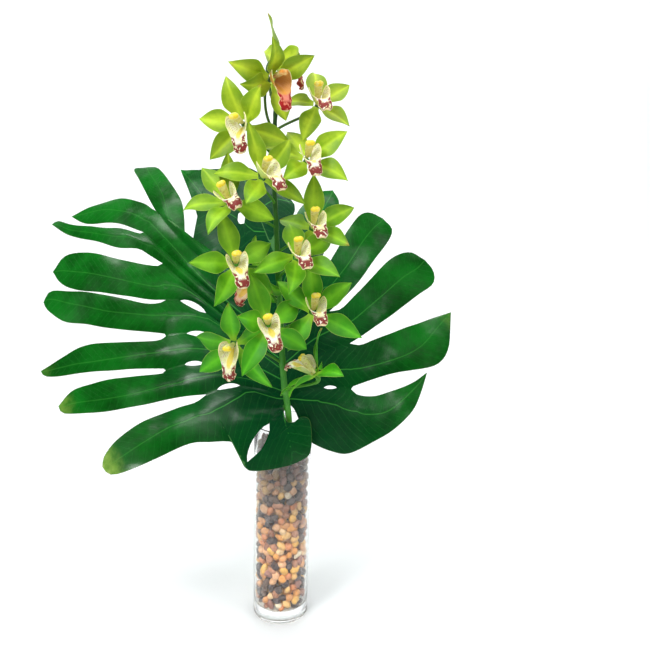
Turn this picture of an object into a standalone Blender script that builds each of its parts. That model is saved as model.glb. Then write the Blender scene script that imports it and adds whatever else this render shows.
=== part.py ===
"""A monstera leaf and a green cymbidium orchid spike standing together in a glass cylinder vase of pebbles.

Metres, +Z up. The origin is the middle of the vase's flat underside. Lengths below are in millimetres
and are turned into metres where the meshes are made.
"""
import math

import bmesh
import bpy
import numpy as np
from mathutils import Matrix, Vector

MM = 0.001
GAP = 0.3  # left between pieces that touch, such as the pebbles and the glass

# The glass cylinder vase
VASE_RADIUS = 40.0
VASE_HEIGHT = 300.0
VASE_WALL = 2.2
VASE_FLOOR = 20.0
VASE_HEEL = 4.5
VASE_SIDES = 40

# The gravel, filled almost to the rim
BED_TOP = 268.0
BED_LUMP = 3.5
BED_SIDES = 24

# The monstera leaf: where its stalk meets it, how far it leans back, and how it arches
LEAF_BASE = Vector((2.4, -22.0, 332.5))
LEAF_LEAN = math.radians(35.0)
LEAF_TURN = math.radians(-2.5)
SIDE_ARCH = 0.0006
TIP_ARCH = 0.0008
TIP_ARCH_START = 200.0
LOBE_FOLD = 5.0
BLADE_THICKNESS = 1.0
MIDRIB_HALF_WIDTH = 2.5
MIDRIB_DEPTH = 2.5
SHOULDER = 9.5
FRONT_LOBE_HANG = 0.47
PETIOLE_RADIUS = 4.0
PETIOLE_PATH = [(-8, -4, 140), (-9, -8, 250), (-8, -12, 300), (-3, -17, 321), (1.6, -19.2, 327.6)]

# The orchid's flowering stem
STEM_PATH = [(4, -8, 120), (7, -22, 240), (8.5, -27.5, 295), (6, -31.5, 332), (0, -34, 375),
             (-4, -36, 440), (-11, -33, 560), (-17, -31, 664), (-15, -29, 690), (-14, -27, 712)]
STEM_RADIUS_LOW = 5.5
STEM_RADIUS_TOP = 2.4

# One orchid flower, in its own frame: x to its right as it is seen, y up, z out of its face
HUB_RADIUS = 5.0
HUB_HEIGHT = 2.2
OVARY_RADIUS = 2.7
PEDICEL_RADIUS = 1.7
PEDICEL_END_GAP = 2.0
TEPAL_WIDTH = 25.0
TEPAL_THICKNESS = 1.4
TEPAL_CUP = 0.16
TEPAL_BEND = 3.0
FLOWER_SIZE = 0.95

# Blade outline, in the leaf's own plane: across, along the midrib. Each cut runs from the midrib out to
# the inner end of its slit, then splits into the edge of the lobe before it and of the lobe after it.
MIDRIB = [(-64, 390), (-43, 357), (-22, 320), (-10, 302), (-7, 248), (-4, 152), (0, 78), (0, 0)]
LEFT_CUTS = [
    dict(root=390, path=[], hole=None, before=[], after=[(-84, 389), (-121, 391), (-152, 395)]),
    dict(root=130, path=[(-50, 190), (-100, 235), (-127, 257)], hole=None,
         before=[(-121, 268), (-119, 285), (-134, 339), (-152, 395)],
         after=[(-134, 258), (-139, 266), (-142, 301), (-148, 331), (-167, 369), (-190, 407), (-209, 410)]),
    dict(root=105, path=[(-50, 155), (-120, 228), (-160, 278), (-183, 313)], hole=None,
         before=[(-186, 316), (-197, 338), (-215, 379), (-229, 411), (-209, 410)],
         after=[(-192, 320), (-209, 335), (-248, 352), (-290, 345), (-325, 333)]),
    dict(root=82, path=[(-50, 122), (-125, 195), (-202, 278)], hole=None,
         before=[(-216, 286), (-239, 299), (-267, 307), (-300, 314), (-325, 333)],
         after=[(-211, 278), (-240, 292), (-282, 303), (-322, 316), (-348, 331), (-358, 326)]),
    dict(root=66, path=[(-60, 112), (-120, 170), (-171, 221)], hole=None,
         before=[(-191, 237), (-209, 250), (-239, 257), (-277, 276), (-325, 297), (-358, 326)],
         after=[(-180, 218), (-211, 227), (-252, 244), (-290, 258), (-327, 258), (-344, 236)]),
    dict(root=52, path=[(-60, 100), (-128, 153), (-164, 163)], hole=(0.68, 0.90, 4.5),
         before=[(-188, 166), (-224, 176), (-267, 189), (-309, 201), (-330, 215), (-344, 236)],
         after=[(-175, 159), (-195, 161), (-225, 172), (-267, 186), (-309, 197), (-345, 204), (-355, 188)]),
    dict(root=38, path=[(-60, 75), (-115, 107), (-163, 108)], hole=(0.58, 0.84, 4.5),
         before=[(-166, 112), (-232, 126), (-278, 140), (-317, 150), (-346, 173), (-355, 188)],
         after=[(-173, 103), (-200, 104), (-249, 108), (-288, 107), (-315, 96), (-349, 80)]),
    dict(root=26, path=[(-60, 52), (-121, 65), (-162, 58)], hole=(0.68, 0.84, 3.5),
         before=[(-166, 61), (-229, 66), (-285, 68), (-318, 67), (-341, 71), (-349, 80)],
         after=[(-170, 54), (-228, 54), (-274, 49), (-300, 42), (-316, 24)]),
    dict(root=14, path=[(-40, 26), (-75, 30), (-105, 20)], hole=(0.56, 0.86, 3.5),
         before=[(-137, 19), (-199, 12), (-253, 8), (-305, 12), (-316, 24)],
         after=[(-120, 10), (-145, 4), (-189, -10), (-223, -30), (-243, -52), (-245, -67)]),
    dict(root=4, path=[(-14, -14), (-26, -33), (-39, -52), (-49, -68), (-56, -78)], hole=(0.36, 0.93, 8.0),
         before=[(-53, -64), (-62, -53), (-74, -46), (-100, -45), (-127, -45), (-170, -61), (-212, -76),
                 (-234, -78), (-245, -67)],
         after=[(-48, -83), (-22, -82), (6, -77), (25, -70)]),
    dict(root=0, path=[], hole=None,
         before=[(-1.5, -14), (2, -24), (12, -27), (27, -26), (33, -32), (34, -50), (31, -64), (25, -70)],
         after=[]),
]
RIGHT_CUTS = [
    dict(root=390, path=[], hole=None, before=[], after=[(-43, 387), (-24, 370), (-5, 347), (15, 325),
                                                         (24, 311)]),
    dict(root=200, path=[(4, 252), (15, 276)], hole=None, before=[(20, 288), (24, 300), (24, 311)],
         after=[(24, 288), (32, 303), (47, 321), (66, 337), (84, 340)]),
    dict(root=120, path=[(24, 165), (56, 204)], hole=None,
         before=[(67, 234), (81, 265), (88, 290), (92, 318), (84, 340)],
         after=[(65, 201), (75, 217), (87, 238), (102, 266), (121, 292), (138, 299), (158, 291)]),
    dict(root=75, path=[(35, 112), (67, 134)], hole=None,
         before=[(92, 158), (116, 185), (142, 222), (165, 254), (171, 274), (158, 291)],
         after=[(84, 138), (106, 160), (132, 187), (164, 220), (196, 235), (218, 223)]),
    dict(root=42, path=[(50, 70), (93, 86)], hole=None,
         before=[(115, 100), (158, 131), (199, 163), (226, 183), (230, 205), (218, 223)],
         after=[(108, 84), (128, 92), (156, 103), (209, 125), (251, 141)]),
    dict(root=12, path=[(30, 19), (61, 23), (91, 20)], hole=(0.58, 0.78, 2.5),
         before=[(94, 24), (155, 44), (207, 53), (228, 65), (240, 84), (246, 110), (251, 141)],
         after=[(100, 12), (122, 10), (144, 16), (179, 30), (203, 46)]),
    dict(root=0, path=[], hole=None,
         before=[(10, 0), (19, -8), (24, -22), (28, -34), (34, -47), (58, -62), (83, -67), (118, -52),
                 (148, -35), (175, -11), (190, 15), (203, 46)],
         after=[]),
]
CUT_STEPS = 8
LOBE_STEPS = 6
RUNG_STEPS = 2

# The flowers: where each one's centre is, its turn to the right, tilt up and clockwise roll, then for
# its dorsal sepal, right petal, right sepal, left sepal and left petal the clockwise angle from up, the
# angle forward of the flower's plane, and the length.
FLOWERS = [
    ((-16, 2, 768), (110, 5, 0), ((-30, -14, 60), (70, 0, 50), (140, 0, 50), (225, 0, 50), (275, 15, 57))),
    ((-19, -36, 745), (31, -5, -5), ((-20, 40, 59), (58, 30, 57), (166, 14, 50), (262, 14, 44), (289, 4, 57))),
    ((37, -2, 720), (5, 35, -10), ((10, -5, 56), (62, -5, 54), (150, 15, 56), (212, 0, 56), (315, -35, 54))),
    ((-51, -52, 693), (-15, 0, -15), ((-5, 10, 56), (47, 22, 54), (125, -15, 58), (237, 15, 57), (290, 3, 54))),
    ((24, -47, 655), (10, 25, -5), ((-15, -28, 57), (65, 26, 58), (131, 21, 57), (229, 30, 57), (298, -10, 56))),
    ((-28, -73, 635), (25, 30, -10), ((-7, 25, 63), (54, 20, 57), (137, 0, 59), (230, 18, 59), (298, -20, 57))),
    ((-66, -68, 605), (-10, 35, -38), ((-5, 3, 58), (35, 27, 56), (140, -20, 56), (233, 25, 58), (293, 8, 56))),
    ((33, -58, 575), (8, 39, -5), ((6, 33, 64), (71, 12, 57), (144, 28, 59), (226, -58, 44), (317, -35, 57))),
    ((14, -83, 543), (8, 39, -9), ((4, -4, 52), (65, 0, 56), (140, 22, 62), (203, 20, 59), (256, 8, 57))),
    ((-58, -83, 533), (9, 20, -9), ((-7, 12, 67), (65, -22, 57), (138, -10, 58), (216, 17, 58), (279, 20, 57))),
    ((-34, -27, 508), (-54, -29, 40), ((-23, -15, 60), (68, 0, 50), (140, -10, 55), (220, -10, 55),
                                       (298, 0, 55))),
    ((35, -74, 475), (9, 39, -3), ((0, 28, 62), (63, 25, 59), (126, 0, 68), (222, -25, 58), (315, 10, 58))),
    ((-19, -104, 465), (5, 19, -14), ((-5, 7, 66), (66, -30, 58), (134, -18, 60), (222, 0, 67), (299, 28, 42))),
    ((-62, -65, 430), (-12, -12, -2), ((0, 4, 59), (60, -15, 56), (135, 16, 72), (232, 14, 59), (270, -17, 57))),
    ((40, -70, 392), (-105, 40, 35), ((8, -19, 58), (80, 12, 56), (150, 17, 58), (225, 0, 56), (305, 38, 60))),
]
PEDICEL_DROP = 34.0
PEDICEL_SHIFTS = {2: (17, 60), 10: (-16, 0)}  # how much lower and further round the stem some flower stalks join it


def clear_scene():
    for thing in list(bpy.data.objects):
        bpy.data.objects.remove(thing, do_unlink=True)


def principled(name, color, roughness, metallic=0.0, transmission=0.0):
    material = bpy.data.materials.new(name)
    material.use_nodes = True
    shader = material.node_tree.nodes["Principled BSDF"]
    shader.inputs["Base Color"].default_value = (*color, 1.0)
    shader.inputs["Roughness"].default_value = roughness
    shader.inputs["Metallic"].default_value = metallic
    shader.inputs["Transmission Weight"].default_value = transmission
    return material


def add_object(name, mesh, material):
    thing = bpy.data.objects.new(name, mesh)
    if not mesh.materials:
        mesh.materials.append(material)
    bpy.context.scene.collection.objects.link(thing)
    return thing


def mesh_from(name, points, faces, smooth=True):
    """A mesh in metres from points in millimetres, its faces turned to point out."""
    mesh = bpy.data.meshes.new(name)
    mesh.from_pydata([tuple(Vector(p) * MM) for p in points], [], faces)
    work = bmesh.new()
    work.from_mesh(mesh)
    bmesh.ops.remove_doubles(work, verts=work.verts, dist=1e-7)
    bmesh.ops.recalc_face_normals(work, faces=work.faces)
    work.to_mesh(mesh)
    work.free()
    if smooth:
        mesh.shade_smooth()
        mesh.set_sharp_from_angle(angle=math.radians(40))
    return mesh


def ease(x):
    x = min(1.0, max(0.0, x))
    return x * x * (3 - 2 * x)


def smooth_curve(points, fractions, dense=24):
    """Points at the given fractions of the length of a smooth curve through the given points."""
    pts = [np.array(p, float) for p in points]
    if len(pts) == 2:
        return [pts[0] + (pts[1] - pts[0]) * f for f in fractions]
    ends = [2 * pts[0] - pts[1]] + pts + [2 * pts[-1] - pts[-2]]
    line = []
    for a, b, c, d in zip(ends, ends[1:], ends[2:], ends[3:]):
        for step in range(dense):
            t = step / dense
            line.append(0.5 * (2 * b + (c - a) * t + (2 * a - 5 * b + 4 * c - d) * t * t
                               + (3 * b - a - 3 * c + d) * t ** 3))
    line.append(pts[-1])
    line = np.array(line)
    walked = np.concatenate([[0], np.cumsum(np.linalg.norm(np.diff(line, axis=0), axis=1))])
    wanted = np.array(fractions) * walked[-1]
    return list(np.stack([np.interp(wanted, walked, line[:, k]) for k in range(line.shape[1])], 1))


def rings_to_faces(count, sides, first=0):
    """Side faces of a tube made of rings of points."""
    faces = []
    for ring in range(count - 1):
        for side in range(sides):
            a = first + ring * sides + side
            b = first + ring * sides + (side + 1) % sides
            faces.append((a, b, b + sides, a + sides))
    return faces


def tube_rings(path, radii, sides, across=None):
    """Rings of points round a path, carried along it without twisting."""
    path = [Vector(p) for p in path]
    rings = []
    for i, point in enumerate(path):
        ahead = (path[min(i + 1, len(path) - 1)] - path[max(i - 1, 0)]).normalized()
        if across is None:
            across = ahead.orthogonal()
        across = (across - ahead * across.dot(ahead)).normalized()
        other = ahead.cross(across)
        for side in range(sides):
            angle = 2 * math.pi * side / sides
            rings.append(point + (across * math.cos(angle) + other * math.sin(angle)) * radii[i])
    return rings


def tube_mesh(name, path, radii, sides):
    points = tube_rings(path, radii, sides)
    faces = rings_to_faces(len(path), sides)
    faces.append(tuple(range(sides)))
    faces.append(tuple(range(len(points) - sides, len(points))))
    return mesh_from(name, points, faces)


def turned_mesh(name, profile, sides):
    """A solid turned about Z from a profile whose two ends are on the axis."""
    points = []
    for radius, height in profile[1:-1]:
        for side in range(sides):
            angle = 2 * math.pi * side / sides
            points.append((radius * math.cos(angle), radius * math.sin(angle), height))
    faces = rings_to_faces(len(profile) - 2, sides)
    last = len(points) - sides
    points.append((0, 0, profile[0][1]))
    points.append((0, 0, profile[-1][1]))
    for side in range(sides):
        after = (side + 1) % sides
        faces.append((side, after, len(points) - 2))
        faces.append((last + side, last + after, len(points) - 1))
    return mesh_from(name, points, faces)


def arc(centre, radius, start, end, steps):
    """Points of an arc, its angles in degrees."""
    spots = []
    for step in range(steps + 1):
        angle = math.radians(start + (end - start) * step / steps)
        spots.append((centre[0] + radius * math.cos(angle), centre[1] + radius * math.sin(angle)))
    return spots


# ---------------------------------------------------------------- the vase and its gravel

def make_vase(material):
    inner = VASE_RADIUS - VASE_WALL
    lip = VASE_WALL / 2
    profile = [(0, 0)]
    profile += arc((VASE_RADIUS - VASE_HEEL, VASE_HEEL), VASE_HEEL, -90, 0, 3)
    profile += arc((VASE_RADIUS - lip, VASE_HEIGHT - lip), lip, 0, 180, 4)
    profile += arc((inner - VASE_HEEL, VASE_FLOOR + VASE_HEEL), VASE_HEEL, 0, -90, 3)
    profile += [(0, VASE_FLOOR)]
    add_object("vase", turned_mesh("vase", profile, VASE_SIDES), material)


def make_bed(material, bores):
    """The gravel as one lumpy solid, bored where the two stalks stand in it."""
    radius = VASE_RADIUS - VASE_WALL - GAP
    corner = VASE_HEEL + GAP
    floor = VASE_FLOOR + GAP
    profile = [(0, floor)] + arc((radius - corner, floor + corner), corner, -90, 0, 2)
    profile += [(radius, BED_TOP - 4), (radius - 5, BED_TOP), (radius * 0.55, BED_TOP), (0, BED_TOP)]
    mesh = turned_mesh("pebble_bed", profile, BED_SIDES)
    for corner_point in mesh.vertices:
        x, y, z = corner_point.co / MM
        if z > BED_TOP - 6:
            corner_point.co.z += BED_LUMP * math.sin(x * 0.35 + 1.0) * math.cos(y * 0.31) * MM
    bed = add_object("pebble_bed", mesh, material)
    for bore in bores:
        cut = bed.modifiers.new("bore", "BOOLEAN")
        cut.operation = "DIFFERENCE"
        cut.solver = "EXACT"
        cut.object = bore


def make_bore(name, path, radii, sides):
    """A guide solid round a stalk, which the gravel leaves free."""
    wide = [r + GAP + 0.2 for r in radii]
    low = Vector(path[0]) - (Vector(path[1]) - Vector(path[0])).normalized() * GAP
    bore = add_object(name, tube_mesh(name, [low] + list(path[1:]), wide, sides), None)
    bore.hide_render = True
    bore.display_type = "WIRE"
    return bore


# ---------------------------------------------------------------- the monstera leaf

def leaf_point(u, v, w):
    """A point of the leaf from its own plane: across, along the midrib, and out of the plane."""
    along = Vector((0, math.sin(LEAF_LEAN), math.cos(LEAF_LEAN)))
    out = Vector((0, -math.cos(LEAF_LEAN), math.sin(LEAF_LEAN)))
    right = Vector((math.cos(LEAF_TURN), 0, 0)) - along * math.sin(LEAF_TURN)
    up = along * math.cos(LEAF_TURN) + Vector((math.sin(LEAF_TURN), 0, 0))
    return LEAF_BASE + right * u + up * v + out * w


def leaf_relief(u, v, side):
    """How far the leaf stands out of its plane: it arches, and its basal lobes part round the stem."""
    out = -SIDE_ARCH * u * u - TIP_ARCH * max(0.0, v - TIP_ARCH_START) ** 2
    if side < 0:
        front = ease((u + 78) / 42)
        out += front * (SHOULDER * ease(-v / 20) + FRONT_LOBE_HANG * min(0.0, v + 22))
    elif v < 0:
        out -= 13.0 * ease(-v / 45) * math.exp(-((u - 30) / 45) ** 2)
    return out


def midrib_point(v):
    heights = [p[1] for p in reversed(MIDRIB)]
    return float(np.interp(v, heights, [p[0] for p in reversed(MIDRIB)]))


def midrib_half_width(v):
    return MIDRIB_HALF_WIDTH * (1 - 0.75 * v / MIDRIB[0][1])


def cut_stations(cut):
    """Fractions along a cut's closed part, with both ends of its hole among them."""
    if cut["hole"] is None:
        return [i / CUT_STEPS for i in range(CUT_STEPS + 1)]
    start, end, _ = cut["hole"]
    inside = [start + (end - start) * k / 4 for k in range(5)]
    return [0, start / 2] + inside + [(1 + end) / 2, 1]


def cut_edges(cut, side):
    """The two edges of a cut: one for the lobe before it and one for the lobe after it."""
    root = (midrib_point(cut["root"]) + side * midrib_half_width(cut["root"]), cut["root"])
    free = [i / LOBE_STEPS for i in range(1, LOBE_STEPS + 1)]
    if not cut["path"]:
        whole = [i / (CUT_STEPS + LOBE_STEPS) for i in range(CUT_STEPS + LOBE_STEPS + 1)]
        edges = [smooth_curve([root] + cut[key], whole) if cut[key] else None for key in ("before", "after")]
        return edges
    stations = cut_stations(cut)
    common = smooth_curve([root] + cut["path"], stations)
    edges = []
    for key, sign in (("before", 1), ("after", -1)):
        line = [p.copy() for p in common]
        if cut["hole"]:
            start, end, half = cut["hole"]
            for i, station in enumerate(stations):
                if start < station < end:
                    run = common[i + 1] - common[i - 1]
                    normal = np.array([run[1], -run[0]]) / np.linalg.norm(run) * side
                    bulge = math.sin(math.pi * (station - start) / (end - start)) ** 0.7
                    line[i] = line[i] - normal * half * bulge * sign
        line += smooth_curve([cut["path"][-1]] + cut[key], free)
        edges.append(line)
    return edges


def add_lobe(sheet, near, far, side, fold):
    """A ladder of points between a lobe's two edges, folded up along its middle like a low roof."""
    rows = []
    count = len(near) - 1
    for i, (a, b) in enumerate(zip(near, far)):
        row = []
        width = np.linalg.norm(b - a)
        for step in range(RUNG_STEPS + 1):
            t = step / RUNG_STEPS
            u, v = a + (b - a) * t
            if i == 0:
                u = midrib_point(v) + side * midrib_half_width(v)
            ridge = fold * (1 - abs(2 * t - 1)) * math.sin(math.pi * min(1, i / count + 0.02)) ** 0.6
            ridge *= min(1.0, width / 40)
            row.append(sheet["add"](leaf_point(u, v, leaf_relief(u, v, side) + ridge), (u, v)))
            if i == count:
                row = row * (RUNG_STEPS + 1)
                break
        rows.append(row)
    for low, high in zip(rows, rows[1:]):
        for k in range(RUNG_STEPS):
            face = [low[k], low[k + 1], high[k + 1], high[k]]
            clean = [p for n, p in enumerate(face) if p != face[n - 1]]
            sheet["faces"].append(tuple(clean if side > 0 else reversed(clean)))
    return rows[0]


def zip_midrib(sheet, left, right):
    """Triangles between the two rows of points along the midrib, from the tip down."""
    i = j = 0
    while i < len(left) - 1 or j < len(right) - 1:
        step_left = j == len(right) - 1 or (i < len(left) - 1
                                            and sheet["uv"][left[i + 1]][1] >= sheet["uv"][right[j + 1]][1])
        if step_left:
            sheet["faces"].append((left[i], left[i + 1], right[j]))
            i += 1
        else:
            sheet["faces"].append((left[i], right[j + 1], right[j]))
            j += 1


def blade_sheet():
    """The blade's upper face: points, their places in the leaf's plane, and faces."""
    points, spots, faces, known = [], [], [], {}

    def add(point, uv):
        key = tuple(round(c, 4) for c in point)
        if key not in known:
            known[key] = len(points)
            points.append(point)
            spots.append(uv)
        return known[key]

    sheet = {"add": add, "faces": faces, "uv": spots}
    chains = []
    for side, cuts in ((-1, LEFT_CUTS), (1, RIGHT_CUTS)):
        edges = [cut_edges(cut, side) for cut in cuts]
        chain = []
        for before, after in zip(edges, edges[1:]):
            root_row = add_lobe(sheet, before[1], after[0], side, LOBE_FOLD)
            chain += root_row if not chain else root_row[1:]
        chains.append(chain)
    zip_midrib(sheet, *chains)
    return points, spots, faces, set(chains[0]) | set(chains[1])


def make_blade(material):
    points, spots, faces, rib = blade_sheet()
    normals = [Vector() for _ in points]
    for face in faces:
        corners = [points[i] for i in face]
        normal = (corners[1] - corners[0]).cross(corners[2] - corners[0])
        for i in face:
            normals[i] += normal
    edge_use = {}
    for face in faces:
        for a, b in zip(face, face[1:] + face[:1]):
            edge_use[(a, b)] = edge_use.get((a, b), 0) + 1
    solid, count = [], len(points)
    for point, normal in zip(points, normals):
        solid.append(point + normal.normalized() * BLADE_THICKNESS / 2)
    for i, (point, normal) in enumerate(zip(points, normals)):
        depth = BLADE_THICKNESS / 2
        if i in rib:
            depth += MIDRIB_DEPTH * (1 - 0.8 * spots[i][1] / MIDRIB[0][1])
        solid.append(point - normal.normalized() * depth)
    shell = list(faces) + [tuple(i + count for i in reversed(face)) for face in faces]
    for a, b in edge_use:
        if (b, a) not in edge_use:
            shell.append((b, a, a + count, b + count))
    add_object("monstera_blade", mesh_from("monstera_blade", solid, shell), material)


def stalk(path, radius_low, radius_top, steps):
    """A smooth stalk: its centre line and its radius at each station."""
    fractions = [i / steps for i in range(steps + 1)]
    line = smooth_curve(path, fractions)
    return [tuple(p) for p in line], [radius_low + (radius_top - radius_low) * f for f in fractions]


# ---------------------------------------------------------------- one orchid flower

def around(angle):
    """Unit vector at a clockwise angle from up, in the flower's plane."""
    angle = math.radians(angle)
    return Vector((math.sin(angle), math.cos(angle), 0))


def tepal_shape(s):
    """Half width of a sepal or petal along its length, as a share of its widest."""
    swell = 0.22 + 0.78 * ease(s / 0.44)
    return swell * max(0.0, 1 - (max(0.0, s - 0.5) / 0.5) ** 2) ** 0.9


def tepal_section(index, tepal, s):
    """Left edge, top, right edge and underside of a sepal or petal at a station of its length."""
    angle, lift, length = tepal
    slot = around(72 * index) * HUB_RADIUS
    lift = math.radians(lift)
    tip = around(angle) * math.cos(lift) * length + Vector((0, 0, math.sin(lift) * length))
    side_root = around(72 * index + 90)
    side_tip = around(angle + 90)
    side = side_root.lerp(side_tip, ease(s * 2.5)).normalized()
    forward = side.cross(tip - slot).normalized()
    if forward.z < 0:
        forward = -forward
    if s == 0:
        forward = Vector((0, 0, 1))
    middle = slot.lerp(tip, s) + forward * TEPAL_BEND * math.sin(math.pi * s)
    half = TEPAL_WIDTH / 2 * tepal_shape(s)
    edge = forward * TEPAL_CUP * half * ease(s * 3)
    thick = forward * TEPAL_THICKNESS / 2
    return [middle - side * half + edge, middle + thick, middle + side * half + edge, middle - thick]


TEPAL_STATIONS = (0.0, 0.15, 0.35, 0.6, 0.82)


def star_mesh(name, tepals, pedicel):
    """Five sepals and petals, the hub they grow from, the ovary and the flower's own stalk."""
    points, faces, roots = [], [], []
    for index, tepal in enumerate(tepals):
        first = len(points)
        for s in TEPAL_STATIONS:
            points += tepal_section(index, tepal, s)
        faces += rings_to_faces(len(TEPAL_STATIONS), 4, first)
        lift = math.radians(tepal[1])
        points.append(around(tepal[0]) * math.cos(lift) * tepal[2] + Vector((0, 0, math.sin(lift) * tepal[2])))
        ring = len(points) - 5
        faces += [(ring + k, ring + (k + 1) % 4, len(points) - 1) for k in range(4)]
        roots.append(first)
    top = len(points)
    points.append(Vector((0, 0, HUB_HEIGHT)))
    ovary = len(points)
    points += pedicel
    for index, root in enumerate(roots):
        left, upper, right, under = root, root + 1, root + 2, root + 3
        after = roots[(index + 1) % 5]
        here, there = ovary + index, ovary + (index + 1) % 5
        faces += [(top, left, upper), (top, upper, right), (top, right, after)]
        faces += [(here, under, left), (here, right, under), (here, after, right), (here, there, after)]
    rings = len(pedicel) // 5
    faces += rings_to_faces(rings, 5, ovary)
    faces.append(tuple(range(ovary + 5 * (rings - 1), ovary + 5 * rings)))
    return mesh_from(name, points, faces)


def stem_spot(height):
    """The stem's middle and radius at a height."""
    line, radii = stalk(STEM_PATH, STEM_RADIUS_LOW, STEM_RADIUS_TOP, 60)
    heights = [p[2] for p in line]
    spot = [float(np.interp(height, heights, [p[k] for p in line])) for k in range(3)]
    return Vector(spot), float(np.interp(height, heights, radii))


def pedicel_points(frame, lower, turn):
    """Rings of the ovary and the flower stalk, in the flower's frame, back to the side of the stem."""
    centre = frame.translation
    back = frame.to_3x3() @ Vector((0, 0, -1))
    spot, radius = stem_spot(min(centre.z - PEDICEL_DROP, STEM_PATH[-1][2] - 6) - lower)
    away = centre - spot
    away.z = 0
    away = Matrix.Rotation(-math.radians(turn), 3, "Z") @ away.normalized()
    start = centre + back * 5
    end = spot + away * (radius + PEDICEL_END_GAP)
    a, b = start + back * 16, end + away * 10 + Vector((0, 0, 12))
    path = []
    for k in range(7):
        t = k / 6
        path.append(start * (1 - t) ** 3 + a * 3 * t * (1 - t) ** 2 + b * 3 * t * t * (1 - t) + end * t ** 3)
    radii = [OVARY_RADIUS, OVARY_RADIUS * 1.05] + [PEDICEL_RADIUS] * 5
    inverse = frame.inverted()
    local = [inverse @ p for p in path]
    return tube_rings(local, radii, 5, across=Vector((0, 1, 0)))


def lip_sheet(steps_along, steps_across):
    """The lip: a channel with two side lobes round the column, then a lobe that turns down."""
    line = [(-3.4, 2.9), (-8.5, 12), (-10.5, 21), (-14, 30), (-22, 36.5), (-32, 37.5)]
    widths = [3.0, 9.5, 12.5, 9.0, 10.0, 4.0]
    rises = [1.5, 9.0, 17.0, 4.0, -3.0, -1.5]
    knots = [0, 0.2, 0.42, 0.62, 0.82, 1.0]
    rows = []
    for i in range(steps_along + 1):
        a = i / steps_along
        y, z = (float(np.interp(a, knots, [p[k] for p in line])) for k in range(2))
        half = float(np.interp(a, knots, widths))
        rise = float(np.interp(a, knots, rises))
        row = []
        for j in range(steps_across + 1):
            b = 2 * j / steps_across - 1
            x = half * b * (1 - 0.02 * max(0.0, rise) * abs(b))
            row.append(Vector((x, y + rise * abs(b) ** 1.6, z - 0.1 * abs(rise) * b * b)))
        rows.append(row)
    return rows


def lip_mesh():
    """The lip's sheet given its thickness."""
    rows = lip_sheet(6, 4)
    along, across = len(rows), len(rows[0])
    upper = [p for row in rows for p in row]
    normals = [Vector() for _ in upper]
    faces = []
    for i in range(along - 1):
        for j in range(across - 1):
            a = i * across + j
            face = (a, a + across, a + across + 1, a + 1)
            normal = (upper[face[1]] - upper[a]).cross(upper[face[3]] - upper[a])
            for corner in face:
                normals[corner] += normal
            faces.append(face)
    half = 0.5
    points = [p + n.normalized() * half for p, n in zip(upper, normals)]
    points += [p - n.normalized() * half for p, n in zip(upper, normals)]
    count = len(upper)
    shell = faces + [tuple(i + count for i in reversed(face)) for face in faces]
    rim = [j for j in range(across)]
    rim += [i * across + across - 1 for i in range(1, along)]
    rim += [(along - 1) * across + j for j in range(across - 2, -1, -1)]
    rim += [i * across for i in range(along - 2, 0, -1)]
    for a, b in zip(rim, rim[1:] + rim[:1]):
        shell.append((a, b, b + count, a + count))
    return mesh_from("lip", [p * FLOWER_SIZE for p in points], shell)


def column_mesh():
    """The column: a curved club over the lip, with the anther cap at its end."""
    path = [(0, 1.6, 3.2), (0, 3.2, 9), (0, 5.6, 16), (0, 8.4, 23), (0, 9.6, 28), (0, 8.6, 31.5)]
    radii = [2.4, 2.8, 3.3, 4.2, 4.4, 2.6]
    rings = tube_rings(path, radii, 6, across=Vector((1, 0, 0)))
    faces = rings_to_faces(len(path), 6)
    faces.append(tuple(range(6)))
    faces.append(tuple(range(len(rings) - 6, len(rings))))
    return mesh_from("column", [p * FLOWER_SIZE for p in rings], faces)


def flower_frame(place, pose):
    """A flower's place and turn, as one matrix in millimetres."""
    yaw, pitch, roll = (math.radians(a) for a in pose)
    upright = Matrix.Rotation(math.pi / 2, 4, "X")
    turn = Matrix.Rotation(yaw, 4, "Z") @ Matrix.Rotation(-pitch, 4, "X") @ upright
    return Matrix.Translation(Vector(place)) @ turn @ Matrix.Rotation(-roll, 4, "Z")


def make_flower(number, place, pose, tepals, green, cream, yellow, shared):
    frame = flower_frame(place, pose)
    metres = frame.copy()
    metres.translation = frame.translation * MM
    name = f"flower_{number:02d}"
    stalk_rings = pedicel_points(frame, *PEDICEL_SHIFTS.get(number, (0, 0)))
    pieces = [(name + "_tepals", star_mesh(name + "_tepals", tepals, stalk_rings), green),
              (name + "_lip", shared["lip"], cream), (name + "_column", shared["column"], yellow)]
    for piece_name, mesh, material in pieces:
        add_object(piece_name, mesh, material).matrix_world = metres


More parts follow.
